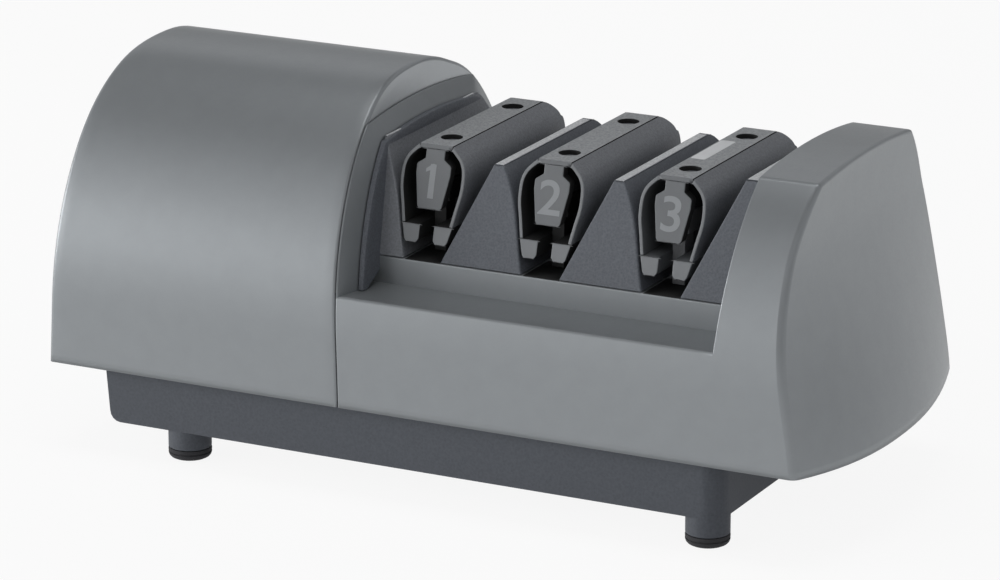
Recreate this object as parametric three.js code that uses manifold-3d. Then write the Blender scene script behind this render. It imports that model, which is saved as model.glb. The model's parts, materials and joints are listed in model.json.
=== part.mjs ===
// An electric knife sharpener with three sprung stages, in millimetres, +Z up.
// Inside the group below, x runs from the left end, y from the middle and z from the housings' lower edge.
import * as THREE from "three";
import { mergeVertices } from "three/addons/utils/BufferGeometryUtils.js";
import Module from "manifold-3d";

const wasm = await Module();
wasm.setup();

// Overall sizes. The depth is what the deck and its ledges add up to, and the length is what the dome,
// the stages and the end cap add up to.
const deckHalf = 39;
const ledgeDepth = 20;
const half = deckHalf + ledgeDepth;
const depth = 2 * half;
const capHeight = 80; // where the end cap's top and the flange's top meet the sides
const topCrown = 2.4; // how far both tops rise above that in the middle
const crownRise = 13.4; // from there to the dome's crown
const crownHeight = capHeight + crownRise;
const shoulderHeight = 20; // straight sides up to here, half an ellipse above
const trayDrop = 17.6;
const footReach = 9.6;
const wall = 2.5;
const gap = 0.3; // running and seating clearance
const overrun = 5; // how far a cutter passes the face it cuts

// Left end of the dome.
const leftDraft = 5.1;
const leftRound = 3.4;
const leftRoundFrom = 60;
const leftRoundPower = 4;

// The dome's crown lies a little under the half ellipse, and its rear shoulder a little outside it.
const crownSettle = 1.8;
const settleFront = 24; // how far from the middle it settles, at the front and at the rear
const settleRear = 50;
const rearFull = 1.4;
const rearFullAt = 36;
const rearFullSpan = 16;

// Seam between the two housings.
const seamX = 99.9;
const seamDrift = 1.67;
const seamCurl = 2.47;
const flangeThickness = 3;
const flangeInset = 7.5;
const flangeTopInset = 4.9;
const flangeLip = 0.3;

// Stages along the machine.
const stageCount = 3;
const stagePitch = 38.8;
const firstStageRoom = 18; // from the seam to the first stage's middle
const lastStageRoom = 24.74; // from the last stage's middle to the end cap
const firstStageX = seamX + firstStageRoom;
const lastStageX = firstStageX + (stageCount - 1) * stagePitch;

// Ledge, deck and end cap.
const ledgeHeight = 33.9;
const deckHeight = 42.2;
const capX = lastStageX + lastStageRoom;
const capSlope = 3.16; // how far the cap's inner face leans from the ledge to the cap's top
const capLength = 37.76; // to the furthest point of the bowed end face
const length = capX + capLength;
const endBow = 11.5;
const bowPower = 2.24;
const bowShift = 8; // how far the bow's crest lies in front of the middle
const endLean = 7.2;
const endLeanHeight = 60;
const leanPower = 1.3;
const endFlare = 3.1; // how far the end face's top comes out again
const flarePower = 1.5;

// Knife guides. Their heights, the arches' and the shaft's are all measured from the deck.
const guideFloor = deckHeight + gap;
const guideRise = 30.1;
const ridgeHeight = deckHeight + guideRise;
const lastGuideRise = 35.2;
const lastRidgeHeight = deckHeight + lastGuideRise;
const slotLeftFoot = 6.4;
const slotLeftTop = 16.2;
const slotLeftBulge = 1.25;
const slotRightFoot = 5.7;
const slotRightTop = 19.5;
const guideSetback = 0.06;
const guideFace = deckHalf - guideSetback; // half the guides' depth at the deck
const frontLeanShare = 0.28;
const rearLeanShare = 0.16;
const guideCorner = 7;
const guideWall = 2.2;
const guidePlate = 1.5;

// Guide arch: a sprung moulding with two arms and two feet.
const archHalf = 10.5;
const archRise = 33.1;
const archTop = deckHeight + archRise;
const archWall = 1.1;
const footLift = 4.9;
const footBottom = deckHeight + footLift;
const footHeight = 5.4;
const archFoot = footBottom + footHeight;
const footInner = 2.3;
const footOuter = 8;
const footTaper = 1.1;
const footChamfer = 1.5;
const footSpan = 15.5; // half the length left free for the discs
const webThickness = 1;

// Cap over the arch, with its number plaque.
const capPlateStep = 0.2; // how far the plate's top stands over the arch's
const capPlateTop = archTop + capPlateStep;
const capPlateThickness = 1.2;
const capPlateHalf = 5.3;
const capPlateCorner = 5;
const plaqueHalf = 6.5;
const neckHeight = 4.4;
const plaqueTop = capPlateTop - neckHeight;
const plaqueHeight = 14.2;
const plaqueBottom = plaqueTop - plaqueHeight;
const plaqueThickness = 3;
const neckHalf = 4;
const screwSetback = 18.94;
const screwHalfPitch = guideFace - screwSetback;
const bossRadius = 4.45;
const bossDepth = 10.5;
const bossBottom = capPlateTop - bossDepth;
const counterbore = 3.25;
const counterboreDepth = 8.2;
const counterboreFloor = capPlateTop - counterboreDepth;
const labelLow = { x: -4.9, y: -9.5 };
const labelHigh = { x: -0.2, y: 12.8 };
const labelThickness = 0.4;
const labelRecess = 0.5;

// Centre post.
const railHalf = 3.2;
const railHeight = 6.7;
const postInner = 21.5;
const postOuter = 27.5;

// Screws.
const screwHeadRadius = 2.9;
const screwHeadHeight = 2.4;
const screwRadius = 1.4;
const screwReach = 8;
const driveSlotWidth = 0.9;
const driveSlotDepth = 1;

// Shaft line.
const shaftDrop = 9.7; // from the deck's top to the shaft's axis
const shaftHeight = deckHeight - shaftDrop;
const shaftRadius = 3.5;
const shaftLeft = 7.5;
const discRadius = 20.5;
const discHub = 8;
const discHubReach = 5.5;
const discRimReach = 2.8;
const discInner = 1.4;
const pocketInner = 5.7;
const pocketOuter = 8.1;
const pocketReach = 4.2;
const springRadius = 7;
const springWire = 1.2;
const springTurns = 3.5;
const sleeveRadius = 6;
const discSlotRoom = 1.5;
const deckSlotHalf = 5.9;
const deckSlotSpan = discRadius + discSlotRoom;
const shaftOpening = 12;

// Motor.
const coreLeft = 34;
const coreRoom = 37.9; // from the core to the seam
const coreRight = seamX - coreRoom;
const coreBore = 19;
const poleWall = 3;
const windowInner = coreBore + poleWall;
const windowWidth = 9;
const windowLimb = windowInner + windowWidth;
const rearLimb = 9.2;
const coreRear = windowLimb + rearLimb;
const frontLimb = 5.7;
const coreFront = -coreBore - frontLimb;
const coreYoke = 5.5;
const coreBottom = shaftHeight - coreBore - coreYoke;
const coreTop = shaftHeight + coreBore + coreYoke;
const windowMargin = 8;
const rotorAirGap = 0.6;
const rotorRecess = 1;
const bobbinWall = 1.2;
const coilDepth = 4.7;
const coilMargin = 13.5;
const fanX = 8.5;
const fanLength = 8;
const fanFloor = 10.5;
const fanRadius = shaftHeight - fanFloor;
const fanHub = 8;
const fanBladeCount = 7;
const fanBlade = 1.4;
const fanPlate = 1.5;
const bushLength = 8;
const bushRadius = 5.5;
const bracketThickness = 4;
const bracketHalf = 9;
const bracketMargin = 2;
const bracketHub = 8.5;
const bracketGap = 6;
const standoffRadius = 3;
const saddleWidth = 3;
const blockHalf = 12;
const blockShoulder = 6.9;
const blockLength = 8;
const shaftStub = 2.7; // how far the shaft passes its end bearing

// Base tray and feet.
const trayLeft = 17;
const trayOverhang = 1.36; // how far the tray's right end passes the end cap's inner face
const trayRight = capX + trayOverhang;
const trayInset = 4.6;
const trayHalf = half - trayInset;
const trayDraft = 1.5;
const trayCorner = 3.5;
const trayWall = 2.2;
const plateRecess = 1.2;
const plateThickness = 2.5;
const footRadius = 6.6;
const leftFootInset = 25.6;
const leftFootX = trayLeft + leftFootInset;
const padThickness = 3.4;
const padRound = 1.2;
const spigotRadius = 2.9;
const spigotLength = 5.4;
const coverReach = 17.9; // past the first stage's middle
const coverLeft = firstStageX - coverReach;
const coverRightReach = 10.5; // past the last stage's middle
const coverRight = lastStageX + coverRightReach;
const coverHalf = 18;
const coverThickness = 1.8;
const coverGrip = 1.6;
const railThickness = 1.6;
const railLip = 2.5;
const openingMargin = 5;

// Base screws, with their bosses in the housings.
const bossX = 10;
const rightBossInset = 11.76;
const rightBossX = capX + rightBossInset;
const bossInset = 9;
const bossY = half - bossInset;
const baseBossRadius = 4;
const baseBossTop = 24;
const ribWidth = 3;
const baseScrewHead = 3;
const baseScrewHeadHeight = 1.7;
const baseScrewRadius = 1.4;
const baseScrewReach = 14;

// Rocker switch and cord inlet, both in the dome's rear wall.
const switchInset = 16.9;
const switchX = seamX - switchInset;
const switchHeight = 14;
const switchWidth = 24;
const switchTall = 18.5;
const switchDepth = 15;
const switchWall = 1.6;
const rockerRadius = 8.2;
const rockerHalf = 6;
const rockerDish = 0.6;
const rockerPivot = 7; // below the housing's rear face
const rockerTilt = 8; // degrees
const inletX = 20;
const inletHeight = 14;
const inletRadius = 5.2;
const inletBore = 3.5;
const grommetDepth = 6;
const grommetCollar = 7;

// How finely curves are cut.
const sectionSteps = 26;
const sideSteps = 7;
const endSteps = 16;
const roundSteps = 20;
const smallSteps = 10;
const discSteps = 26;
const cornerSteps = 4;
const helixSteps = 10;
const helixSides = 4;

const rise = crownHeight - shoulderHeight;
const deckUnder = deckHeight - wall;
const ledgeUnder = ledgeHeight - wall;
const rightFootX = trayRight - footRadius;
const footY = trayHalf - footRadius;
const archWeb = capPlateTop - capPlateThickness - gap;

const materials = {
  housing: new THREE.MeshStandardMaterial({ color: 0x8b8f92, roughness: 0.42, metalness: 0.25 }),
  guide: new THREE.MeshStandardMaterial({ color: 0x56585c, roughness: 0.7, metalness: 0 }),
  tray: new THREE.MeshStandardMaterial({ color: 0x4b4e54, roughness: 0.8, metalness: 0 }),
  rubber: new THREE.MeshStandardMaterial({ color: 0x2b2d30, roughness: 0.9, metalness: 0 }),
  cap: new THREE.MeshStandardMaterial({ color: 0x75787b, roughness: 0.55, metalness: 0 }),
  post: new THREE.MeshStandardMaterial({ color: 0x242527, roughness: 0.7, metalness: 0 }),
  label: new THREE.MeshStandardMaterial({ color: 0xa5a8aa, roughness: 0.5, metalness: 0 }),
  steel: new THREE.MeshStandardMaterial({ color: 0xb9bcc0, roughness: 0.35, metalness: 1 }),
  darkSteel: new THREE.MeshStandardMaterial({ color: 0x2a2b2d, roughness: 0.5, metalness: 0.6 }),
  core: new THREE.MeshStandardMaterial({ color: 0x6e7174, roughness: 0.6, metalness: 0.8 }),
  copper: new THREE.MeshStandardMaterial({ color: 0xa8643a, roughness: 0.4, metalness: 0.7 }),
  bronze: new THREE.MeshStandardMaterial({ color: 0xb08a4e, roughness: 0.45, metalness: 0.9 }),
  aluminium: new THREE.MeshStandardMaterial({ color: 0xa9adb0, roughness: 0.5, metalness: 0.9 }),
  black: new THREE.MeshStandardMaterial({ color: 0x1b1c1e, roughness: 0.5, metalness: 0 }),
};

// A three.js geometry as a closed solid, turned outwards if its outline ran the other way.
function solid(geometry) {
  const bare = new THREE.BufferGeometry();
  bare.setAttribute("position", geometry.getAttribute("position"));
  bare.setIndex(geometry.index);
  const merged = mergeVertices(bare);
  const corners = merged.index.array;
  const triangles = [];
  for (let i = 0; i < corners.length; i += 3) {
    const [a, b, c] = corners.slice(i, i + 3);
    if (a !== b && b !== c && c !== a) triangles.push(a, b, c);
  }
  const vertProperties = merged.attributes.position.array;
  const build = (list) =>
    new wasm.Manifold(new wasm.Mesh({ numProp: 3, vertProperties, triVerts: new Uint32Array(list) }));
  const made = build(triangles);
  return made.volume() < 0 ? build(triangles.toReversed()) : made;
}

// The solid as a geometry that a mesh can hold.
function geometryOf(made) {
  const mesh = made.getMesh();
  const geometry = new THREE.BufferGeometry();
  geometry.setAttribute("position", new THREE.BufferAttribute(mesh.vertProperties, 3));
  geometry.setIndex(new THREE.BufferAttribute(mesh.triVerts, 1));
  geometry.computeVertexNormals();
  return geometry;
}

const cut = (body, ...tools) => tools.reduce((left, tool) => left.subtract(tool), body);
const join = (first, ...rest) => rest.reduce((sum, piece) => sum.add(piece), first);

// An outline pushed along one axis: its first and second coordinates go to the axes named.
function extrude(outline, from, to, first, second, along) {
  const shape = new THREE.Shape(outline.map(([a, b]) => new THREE.Vector2(a, b)));
  const geometry = new THREE.ExtrudeGeometry(shape, { depth: to - from, bevelEnabled: false, steps: 1 });
  geometry.translate(0, 0, from);
  geometry.applyMatrix4(new THREE.Matrix4().makeBasis(first, second, along));
  return solid(geometry);
}
const axisX = new THREE.Vector3(1, 0, 0);
const axisY = new THREE.Vector3(0, 1, 0);
const axisZ = new THREE.Vector3(0, 0, 1);
const alongX = (outline, from, to) => extrude(outline, from, to, axisY, axisZ, axisX);
const alongY = (outline, from, to) => extrude(outline, from, to, axisX, axisZ, axisY);
const alongZ = (outline, from, to) => extrude(outline, from, to, axisX, axisY, axisZ);

// A box between two corners.
function block(low, high) {
  const size = high.map((value, i) => value - low[i]);
  const middle = high.map((value, i) => (value + low[i]) / 2);
  return solid(new THREE.BoxGeometry(...size).translate(...middle));
}

// A profile of radius and reach, turned about an axis through a centre.
function turned(profile, axis, centre, steps = roundSteps) {
  const geometry = new THREE.LatheGeometry(profile.map(([r, s]) => new THREE.Vector2(r, s)), steps);
  geometry.applyQuaternion(new THREE.Quaternion().setFromUnitVectors(axisY, axis));
  geometry.translate(...centre);
  return solid(geometry);
}

const rod = (axis, radius, from, to, centre, steps) =>
  turned([[0, from], [radius, from], [radius, to], [0, to]], axis, centre, steps);
const tube = (axis, bore, radius, from, to, centre, steps) =>
  turned([[bore, from], [radius, from], [radius, to], [bore, to], [bore, from]], axis, centre, steps);

// Values from zero to one in even steps, ends included.
const evenly = (steps) => Array.from({ length: steps + 1 }, (_, i) => i / steps);

// Faces of the housings, as functions of the height above their lower edge.
const share = (z) => z / crownHeight;
const seamAt = (z) => seamX - seamDrift * share(z) - seamCurl * share(z) ** 2;
const flangeAt = (z) => seamAt(z) + gap / 2 + flangeThickness;
const capAt = (z) => capX + (capSlope * (z - ledgeHeight)) / (capHeight - ledgeHeight);
const leftEndAt = (z) => {
  const rounding = Math.max(0, z - leftRoundFrom) / (crownHeight - leftRoundFrom);
  return leftDraft * share(z) + leftRound * rounding ** leftRoundPower;
};
const halfWidthAt = (z) => half * Math.sqrt(1 - (Math.max(0, z - shoulderHeight) / rise) ** 2);
const topAt = (y, inset) => capHeight - inset + topCrown * (1 - (y / halfWidthAt(capHeight)) ** 2);
function endAt(y, z) {
  const height = Math.max(0, z);
  const lean = endLean * Math.sin(((Math.PI / 2) * Math.min(height, endLeanHeight)) / endLeanHeight) ** leanPower;
  const flare = endFlare * (Math.max(0, height - endLeanHeight) / (capHeight - endLeanHeight)) ** flarePower;
  const across = Math.abs(y + bowShift * (1 - (y / half) ** 2)) / half;
  const bow = endBow * Math.max(0, 1 - height / capHeight) * (1 - across ** bowPower);
  return length - endBow - lean + flare + bow;
}

// A hump that is one in the middle and runs out evenly a span away from it.
const hump = (distance, span) => Math.max(0, 1 - (distance / span) ** 2) ** 2;

// The dome's cross-section: straight sides with half an ellipse over them, settled and filled out.
function section(inset, low) {
  const arch = evenly(sectionSteps).map((t) => {
    const [y, z] = [half * Math.cos(Math.PI * t), shoulderHeight + rise * Math.sin(Math.PI * t)];
    const [dy, dz] = [y / half ** 2, (z - shoulderHeight) / rise ** 2];
    const out = (rearFull * hump(y - rearFullAt, rearFullSpan) - inset) / Math.hypot(dy, dz);
    const settle = crownSettle * hump(y, y < 0 ? settleFront : settleRear);
    return [y + dy * out, z + dz * out - settle];
  });
  return [[half - inset, low], ...arch, [inset - half, low]];
}

// The dome seen from the front, between its leaning left end and the seam.
function domeSide(inset, low, high) {
  const heights = evenly(sideSteps).map((t) => low + (high - low) * t);
  const right = heights.map((z) => [seamAt(z) - gap / 2 - inset, z]);
  const left = heights.toReversed().map((z) => [leftEndAt(z) + inset, z]);
  return [...right, ...left];
}

// Everything under the crowned top, less an inset.
function underTop(inset) {
  const arc = evenly(sideSteps * 2).map((t) => [depth * (t - 1 / 2), topAt(depth * (t - 1 / 2), inset)]);
  return alongX([[half, -overrun], ...arc.toReversed(), [-half, -overrun]], -overrun, length + overrun);
}

// Everything left of the bowed end face, less an inset.
function behindEndFace(inset) {
  const [dy, dz] = [depth / endSteps, capHeight / sideSteps];
  const span = [length + overrun, depth + 2 * dy, capHeight + 2 * dz];
  const geometry = new THREE.BoxGeometry(...span, 1, endSteps + 2, sideSteps + 2);
  geometry.translate(span[0] / 2 - overrun, 0, capHeight / 2);
  const place = geometry.attributes.position;
  for (let i = 0; i < place.count; i += 1)
    if (place.getX(i) > 0) place.setX(i, endAt(place.getY(i), place.getZ(i)) - inset);
  return solid(geometry);
}

// A boss for a base screw with a rib to the nearest long wall.
function baseBoss(x, side) {
  const centre = [x, side * bossY, 0];
  const low = plateRecess + plateThickness + gap;
  const boss = rod(axisZ, baseBossRadius, low, baseBossTop, centre, smallSteps);
  const ends = [side * bossY, side * (half - wall / 2)].sort((a, b) => a - b);
  const rib = block([x - ribWidth / 2, ends[0], low], [x + ribWidth / 2, ends[1], baseBossTop]);
  return join(boss, rib);
}
const baseBossBore = (x, side) =>
  rod(axisZ, baseScrewRadius + gap, -overrun, screwTop + gap, [x, side * bossY, 0], smallSteps);
const screwTop = plateRecess + baseScrewHeadHeight + baseScrewReach;

function motorHousing() {
  const outside = alongX(section(0, 0), -overrun, seamX + overrun);
  const inside = alongX(section(wall, -overrun), -overrun, seamX + overrun);
  const outer = outside.intersect(alongY(domeSide(0, 0, crownHeight + overrun), -half, half));
  const inner = inside.intersect(alongY(domeSide(wall, -overrun, crownHeight), -half, half));
  const shaftHole = rod(axisX, shaftOpening, -overrun, overrun, [seamAt(shaftHeight), 0, shaftHeight]);
  const plateTop = plateRecess + plateThickness + gap;
  const inHalf = half - wall;
  const skirt = block([seamX - wall - overrun, -inHalf, -overrun], [seamX + overrun, inHalf, plateTop]);
  const shell = cut(outer, inner, shaftHole, skirt);
  const bosses = [-1, 1].map((side) => baseBoss(bossX, side));
  const bores = [-1, 1].map((side) => baseBossBore(bossX, side));
  return cut(join(shell, ...bosses), ...bores, switchHole(0), inletHole());
}

// The housings' outline from a level up to the crowned top, moved in at its sides and at its top.
function openLoop(low, inset, topInset) {
  const top = capHeight - topInset;
  const side = evenly(sideSteps).map((t) => {
    const z = low + (top - low) * t;
    return [halfWidthAt(z) - inset, z];
  });
  const corner = side.at(-1)[0];
  const crown = evenly(sideSteps).slice(1, -1).map((t) => {
    const y = corner * (1 - 2 * t);
    return [y, top + topCrown * (1 - (y / corner) ** 2)];
  });
  return [...side, ...crown, ...side.toReversed().map(([y, z]) => [-y, z])];
}

// The picture frame round the left end of the open stages: a plate whose edge is bevelled.
function flange() {
  const low = ledgeUnder;
  const rings = [
    [-overrun, 0],
    [flangeLip, 0],
    [flangeThickness + overrun - flangeLip, 1 + (overrun - flangeLip) / flangeThickness],
  ].map(([reach, slope]) =>
    openLoop(low, flangeInset * slope, flangeTopInset * slope).map(([y, z]) => [seamAt(z) + gap / 2 + reach, y, z]),
  );
  const bevelled = loft(rings);
  const heights = evenly(sideSteps).map((t) => low + (capHeight + topCrown - low) * t);
  const left = heights.toReversed().map((z) => [seamAt(z) + gap / 2, z]);
  const right = heights.map((z) => [flangeAt(z), z]);
  return bevelled.intersect(alongY([...right, ...left], -half, half));
}

// Rings of points, as many in each, skinned into one solid with fans over its two ends.
function loft(rings) {
  const count = rings[0].length;
  const middle = (ring) => [0, 1, 2].map((i) => ring.reduce((sum, point) => sum + point[i], 0) / count);
  const points = [...rings.flat(), middle(rings[0]), middle(rings.at(-1))];
  const first = rings.length * count;
  const index = [];
  for (let j = 0; j < count; j += 1) {
    const next = (j + 1) % count;
    for (let i = 0; i + 1 < rings.length; i += 1) {
      const [a, b, c, d] = [i * count + j, i * count + next, (i + 1) * count + next, (i + 1) * count + j];
      index.push(a, b, c, a, c, d);
    }
    const last = (rings.length - 1) * count;
    index.push(first, next, j, first + 1, last + j, last + next);
  }
  const geometry = new THREE.BufferGeometry();
  geometry.setAttribute("position", new THREE.Float32BufferAttribute(points.flat(), 3));
  geometry.setIndex(index);
  return solid(geometry);
}

function guideHousing() {
  const end = behindEndFace(0);
  const heights = evenly(sideSteps).map((t) => -overrun + (crownHeight + overrun) * t);
  const seamSide = heights.toReversed().map((z) => [seamAt(z) + gap / 2, z]);
  const flat = [[length + overrun, -overrun], [length + overrun, crownHeight]];
  const rightOfSeam = alongY([...seamSide, ...flat], -depth, depth);
  const overEdge = block([0, -depth, 0], [length + overrun, depth, crownHeight]);
  const left = seamX - stagePitch;
  const outer = alongX(section(0, -overrun), left, length + overrun)
    .intersect(end)
    .intersect(rightOfSeam)
    .intersect(overEdge)
    .intersect(underTop(0));
  const over = crownHeight + overrun;
  const right = [ledgeHeight, over].map((z) => [capAt(z), z]);
  const valley = alongY([[left, ledgeHeight], ...right, [left, over]], -depth, depth);
  const deck = block([0, -deckHalf, 0], [length, deckHalf, deckHeight]);
  const body = join(outer.subtract(valley.subtract(deck)), flange());
  return cut(body, ...guideHousingHollows(), ...deckSlots()).add(rightBosses()).subtract(rightBores());
}

// The room under the ledges, under the deck and inside the end cap.
function guideHousingHollows() {
  const inner = alongX(section(wall, -overrun), seamX - stagePitch, length)
    .intersect(behindEndFace(wall))
    .intersect(underTop(wall));
  const reach = half + overrun;
  const left = seamX - stagePitch;
  const spaces = [
    block([left, -reach, -overrun], [length, reach, ledgeUnder]),
    block([left, wall - deckHalf, -overrun], [capX + wall, deckHalf - wall, deckUnder]),
    alongY(
      [
        [capAt(ledgeUnder - overrun) + wall, ledgeUnder - overrun],
        [length, ledgeUnder - overrun],
        [length, crownHeight],
        [capAt(crownHeight) + wall, crownHeight],
      ],
      -reach,
      reach,
    ),
  ];
  return spaces.map((space) => space.intersect(inner));
}

const stagePlaces = Array.from({ length: stageCount }, (_, i) => firstStageX + i * stagePitch);
function deckSlots() {
  const span = deckSlotSpan - gap;
  return stagePlaces.map((x) =>
    block([x - deckSlotHalf, -span, deckUnder - overrun], [x + deckSlotHalf, span, deckHeight + overrun]),
  );
}
const rightBosses = () => join(...[-1, 1].map((side) => baseBoss(rightBossX, side)));
const rightBores = () => join(...[-1, 1].map((side) => baseBossBore(rightBossX, side)));

// The tray: a plate inside the housings' skirt, a tub under it and four foot columns.
function baseTray() {
  const plateTop = plateRecess + plateThickness;
  const ends = [leftEndAt(plateTop) + wall + gap, length];
  const plate = alongX(section(wall + gap, plateRecess), ends[0], ends[1])
    .intersect(behindEndFace(wall + gap))
    .intersect(block([0, -half, plateRecess], [length, half, plateTop]));
  const tub = trayBlock(0, -trayDrop, plateTop);
  const hollow = trayBlock(trayWall, trayWall - trayDrop, plateTop + overrun);
  const columns = footPlaces().map(([x, y]) =>
    rod(axisZ, footRadius, padThickness + gap - footReach - trayDrop, trayWall / 2 - trayDrop, [x, y, 0]),
  );
  const bores = footPlaces().map(([x, y]) =>
    rod(axisZ, spigotRadius + gap, -footReach - trayDrop, spigotTop() + gap, [x, y, 0], smallSteps),
  );
  const shell = cut(join(plate, tub), hollow);
  return cut(join(shell, ...columns, ...saddles(), ...coverRails()), ...bores, ...traySlots());
}

// The tub's block: a leaning left end with a rounded lower edge, and rounded right corners.
function trayBlock(inset, low, high) {
  const round = trayCorner - inset;
  const toe = trayLeft + trayDraft + inset;
  const arc = evenly(cornerSteps).map((t) => {
    const angle = Math.PI + (Math.PI / 2) * t;
    return [toe + round + round * Math.cos(angle), low + round + round * Math.sin(angle)];
  });
  const right = [low, high].map((z) => [trayRight - inset, z]);
  const side = alongY([[trayLeft + inset, high], ...arc, ...right], -half, half);
  const turn = footRadius - inset;
  const corner = (sign) =>
    evenly(cornerSteps).map((t) => {
      const angle = (Math.PI / 2) * (sign < 0 ? t - 1 : t);
      return [rightFootX + turn * Math.cos(angle), sign * footY + turn * Math.sin(angle)];
    });
  const reach = trayHalf - inset;
  const plan = alongZ([[0, -reach], ...corner(-1), ...corner(1), [0, reach]], low, high);
  return plan.intersect(side);
}

const footPlaces = () => [leftFootX, rightFootX].flatMap((x) => [[x, -footY], [x, footY]]);
const spigotTop = () => padThickness + spigotLength - footReach - trayDrop;

// Two ribs that carry the motor's core.
function saddles() {
  const low = trayWall / 2 - trayDrop;
  return [coreLeft + saddleWidth, coreRight - 2 * saddleWidth].map((x) =>
    block([x, coreFront, low], [x + saddleWidth, coreRear, coreBottom - gap]),
  );
}

// Two rails under the tray in which the filings cover slides.
function coverRails() {
  const top = -trayDrop + trayWall / 2;
  const under = -trayDrop - coverThickness - 2 * gap;
  const outer = coverHalf + gap + railThickness;
  return [-1, 1].map((side) => {
    const profile = [
      [outer, under - railThickness],
      [outer, top],
      [coverHalf + gap, top],
      [coverHalf + gap, under],
      [coverHalf - railLip, under],
      [coverHalf - railLip, under - railThickness],
    ].map(([y, z]) => [side * y, z]);
    return alongX(profile, coverLeft, coverRight);
  });
}

// The filings opening in the floor, and the screw holes in the plate.
function traySlots() {
  const floor = block(
    [coverLeft + openingMargin, openingMargin - coverHalf, -trayDrop - overrun],
    [coverRight - openingMargin, coverHalf - openingMargin, trayWall - trayDrop + overrun],
  );
  const holes = screwPlaces().flatMap(([x, y]) => [
    rod(axisZ, baseScrewRadius + gap, -overrun, overrun, [x, y, plateRecess], smallSteps),
    rod(axisZ, baseScrewHead + gap, -overrun, plateThickness / 2, [x, y, plateRecess], smallSteps),
  ]);
  return [floor, ...holes];
}
const screwPlaces = () => [bossX, rightBossX].flatMap((x) => [[x, -bossY], [x, bossY]]);

function filingsCover() {
  const top = -trayDrop - gap;
  const low = top - coverThickness;
  const plate = block([coverLeft, -coverHalf, low], [coverRight, coverHalf, top]);
  const grip = coverHalf - railLip - 2 * gap;
  const ridge = block([coverRight - coverGrip, -grip, low - coverGrip], [coverRight, grip, top]);
  return join(plate, ridge);
}

// A rubber pad with a rounded lower edge and a spigot that plugs into its column.
function rubberFoot(x, y) {
  const floor = -footReach - trayDrop;
  const round = evenly(cornerSteps).map((t) => [
    footRadius - padRound + padRound * Math.sin((Math.PI / 2) * t),
    padRound - padRound * Math.cos((Math.PI / 2) * t),
  ]);
  const top = padThickness + spigotLength;
  const spigot = [[spigotRadius, padThickness], [spigotRadius, top], [0, top]];
  return turned([[0, 0], ...round, [footRadius, padThickness], ...spigot], axisZ, [x, y, floor]);
}

// A cylinder-head screw, its head's lower face at the seat and its shank above or below it.
function screw(place, seat, way, sizes) {
  const profile = [
    [0, -sizes.head],
    [sizes.headRadius, -sizes.head],
    [sizes.headRadius, 0],
    [sizes.radius, 0],
    [sizes.radius, sizes.reach],
    [0, sizes.reach],
  ];
  const axis = axisZ.clone().multiplyScalar(way);
  const body = turned(profile, axis, [place[0], place[1], seat], smallSteps);
  const outerFace = seat - way * sizes.head;
  const ends = [outerFace - way * overrun, outerFace + way * driveSlotDepth].sort((a, b) => a - b);
  const slots = [[sizes.headRadius * 2, driveSlotWidth], [driveSlotWidth, sizes.headRadius * 2]].map(([a, b]) => {
    const [halfA, halfB] = [(a * crossShare) / 2, (b * crossShare) / 2];
    return block([place[0] - halfA, place[1] - halfB, ends[0]], [place[0] + halfA, place[1] + halfB, ends[1]]);
  });
  return cut(body, ...slots);
}
const crossShare = 0.7;

// Slot walls, as offsets from the stage's middle.
const upShare = (z) => (z - deckHeight) / (ridgeHeight - deckHeight);
const bulgePeak = 4 / 27; // the most that t squared times one minus t comes to
const bulgeShare = (t) => (t ** 2 * (1 - t)) / bulgePeak;
const slotLeftAt = (z) => {
  const t = upShare(z);
  return slotLeftFoot + (slotLeftTop - slotLeftFoot) * t - slotLeftBulge * bulgeShare(t);
};
const slotRightAt = (z) => slotRightFoot + (slotRightTop - slotRightFoot) * upShare(z);
const faceAt = (z) => guideFace - frontLeanShare * (z - guideFloor);
const rearAt = (z) => guideFace - rearLeanShare * (z - guideFloor);

// The guides seen from the right: faces that lean together, rounded at the rear top.
function guideSide(inset, low, top, corner) {
  const arc = evenly(cornerSteps).map((t) => {
    const angle = (Math.PI / 2) * t;
    return [rearAt(top) - inset - corner + corner * Math.cos(angle), top - corner + corner * Math.sin(angle)];
  });
  return [[inset - faceAt(low), low], [rearAt(low) - inset, low], ...arc, [inset - faceAt(top), top]];
}

// A hollow wedge between a left and a right face, open below.
function wedge(leftAt, rightAt, top) {
  const outline = (inset, low, high) => {
    const heights = evenly(sideSteps).map((t) => low + (high - low) * t);
    const right = heights.map((z) => [rightAt(z) - inset, z]);
    return [...right, ...heights.toReversed().map((z) => [leftAt(z) + inset, z])];
  };
  const levels = evenly(sideSteps * sideSteps).map((t) => top - guideWall - (top - guideFloor) * t);
  const coreTop = levels.find((z) => rightAt(z) - leftAt(z) > 3 * guideWall);
  const body = alongY(outline(0, guideFloor, top), -half, half)
    .intersect(alongX(guideSide(0, guideFloor, top, guideCorner), 0, length));
  const core = alongY(outline(guideWall, guideFloor - overrun, coreTop), -half, half)
    .intersect(alongX(guideSide(guideWall, guideFloor - overrun, coreTop, guideCorner - guideWall), 0, length));
  return body.subtract(core);
}

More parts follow.
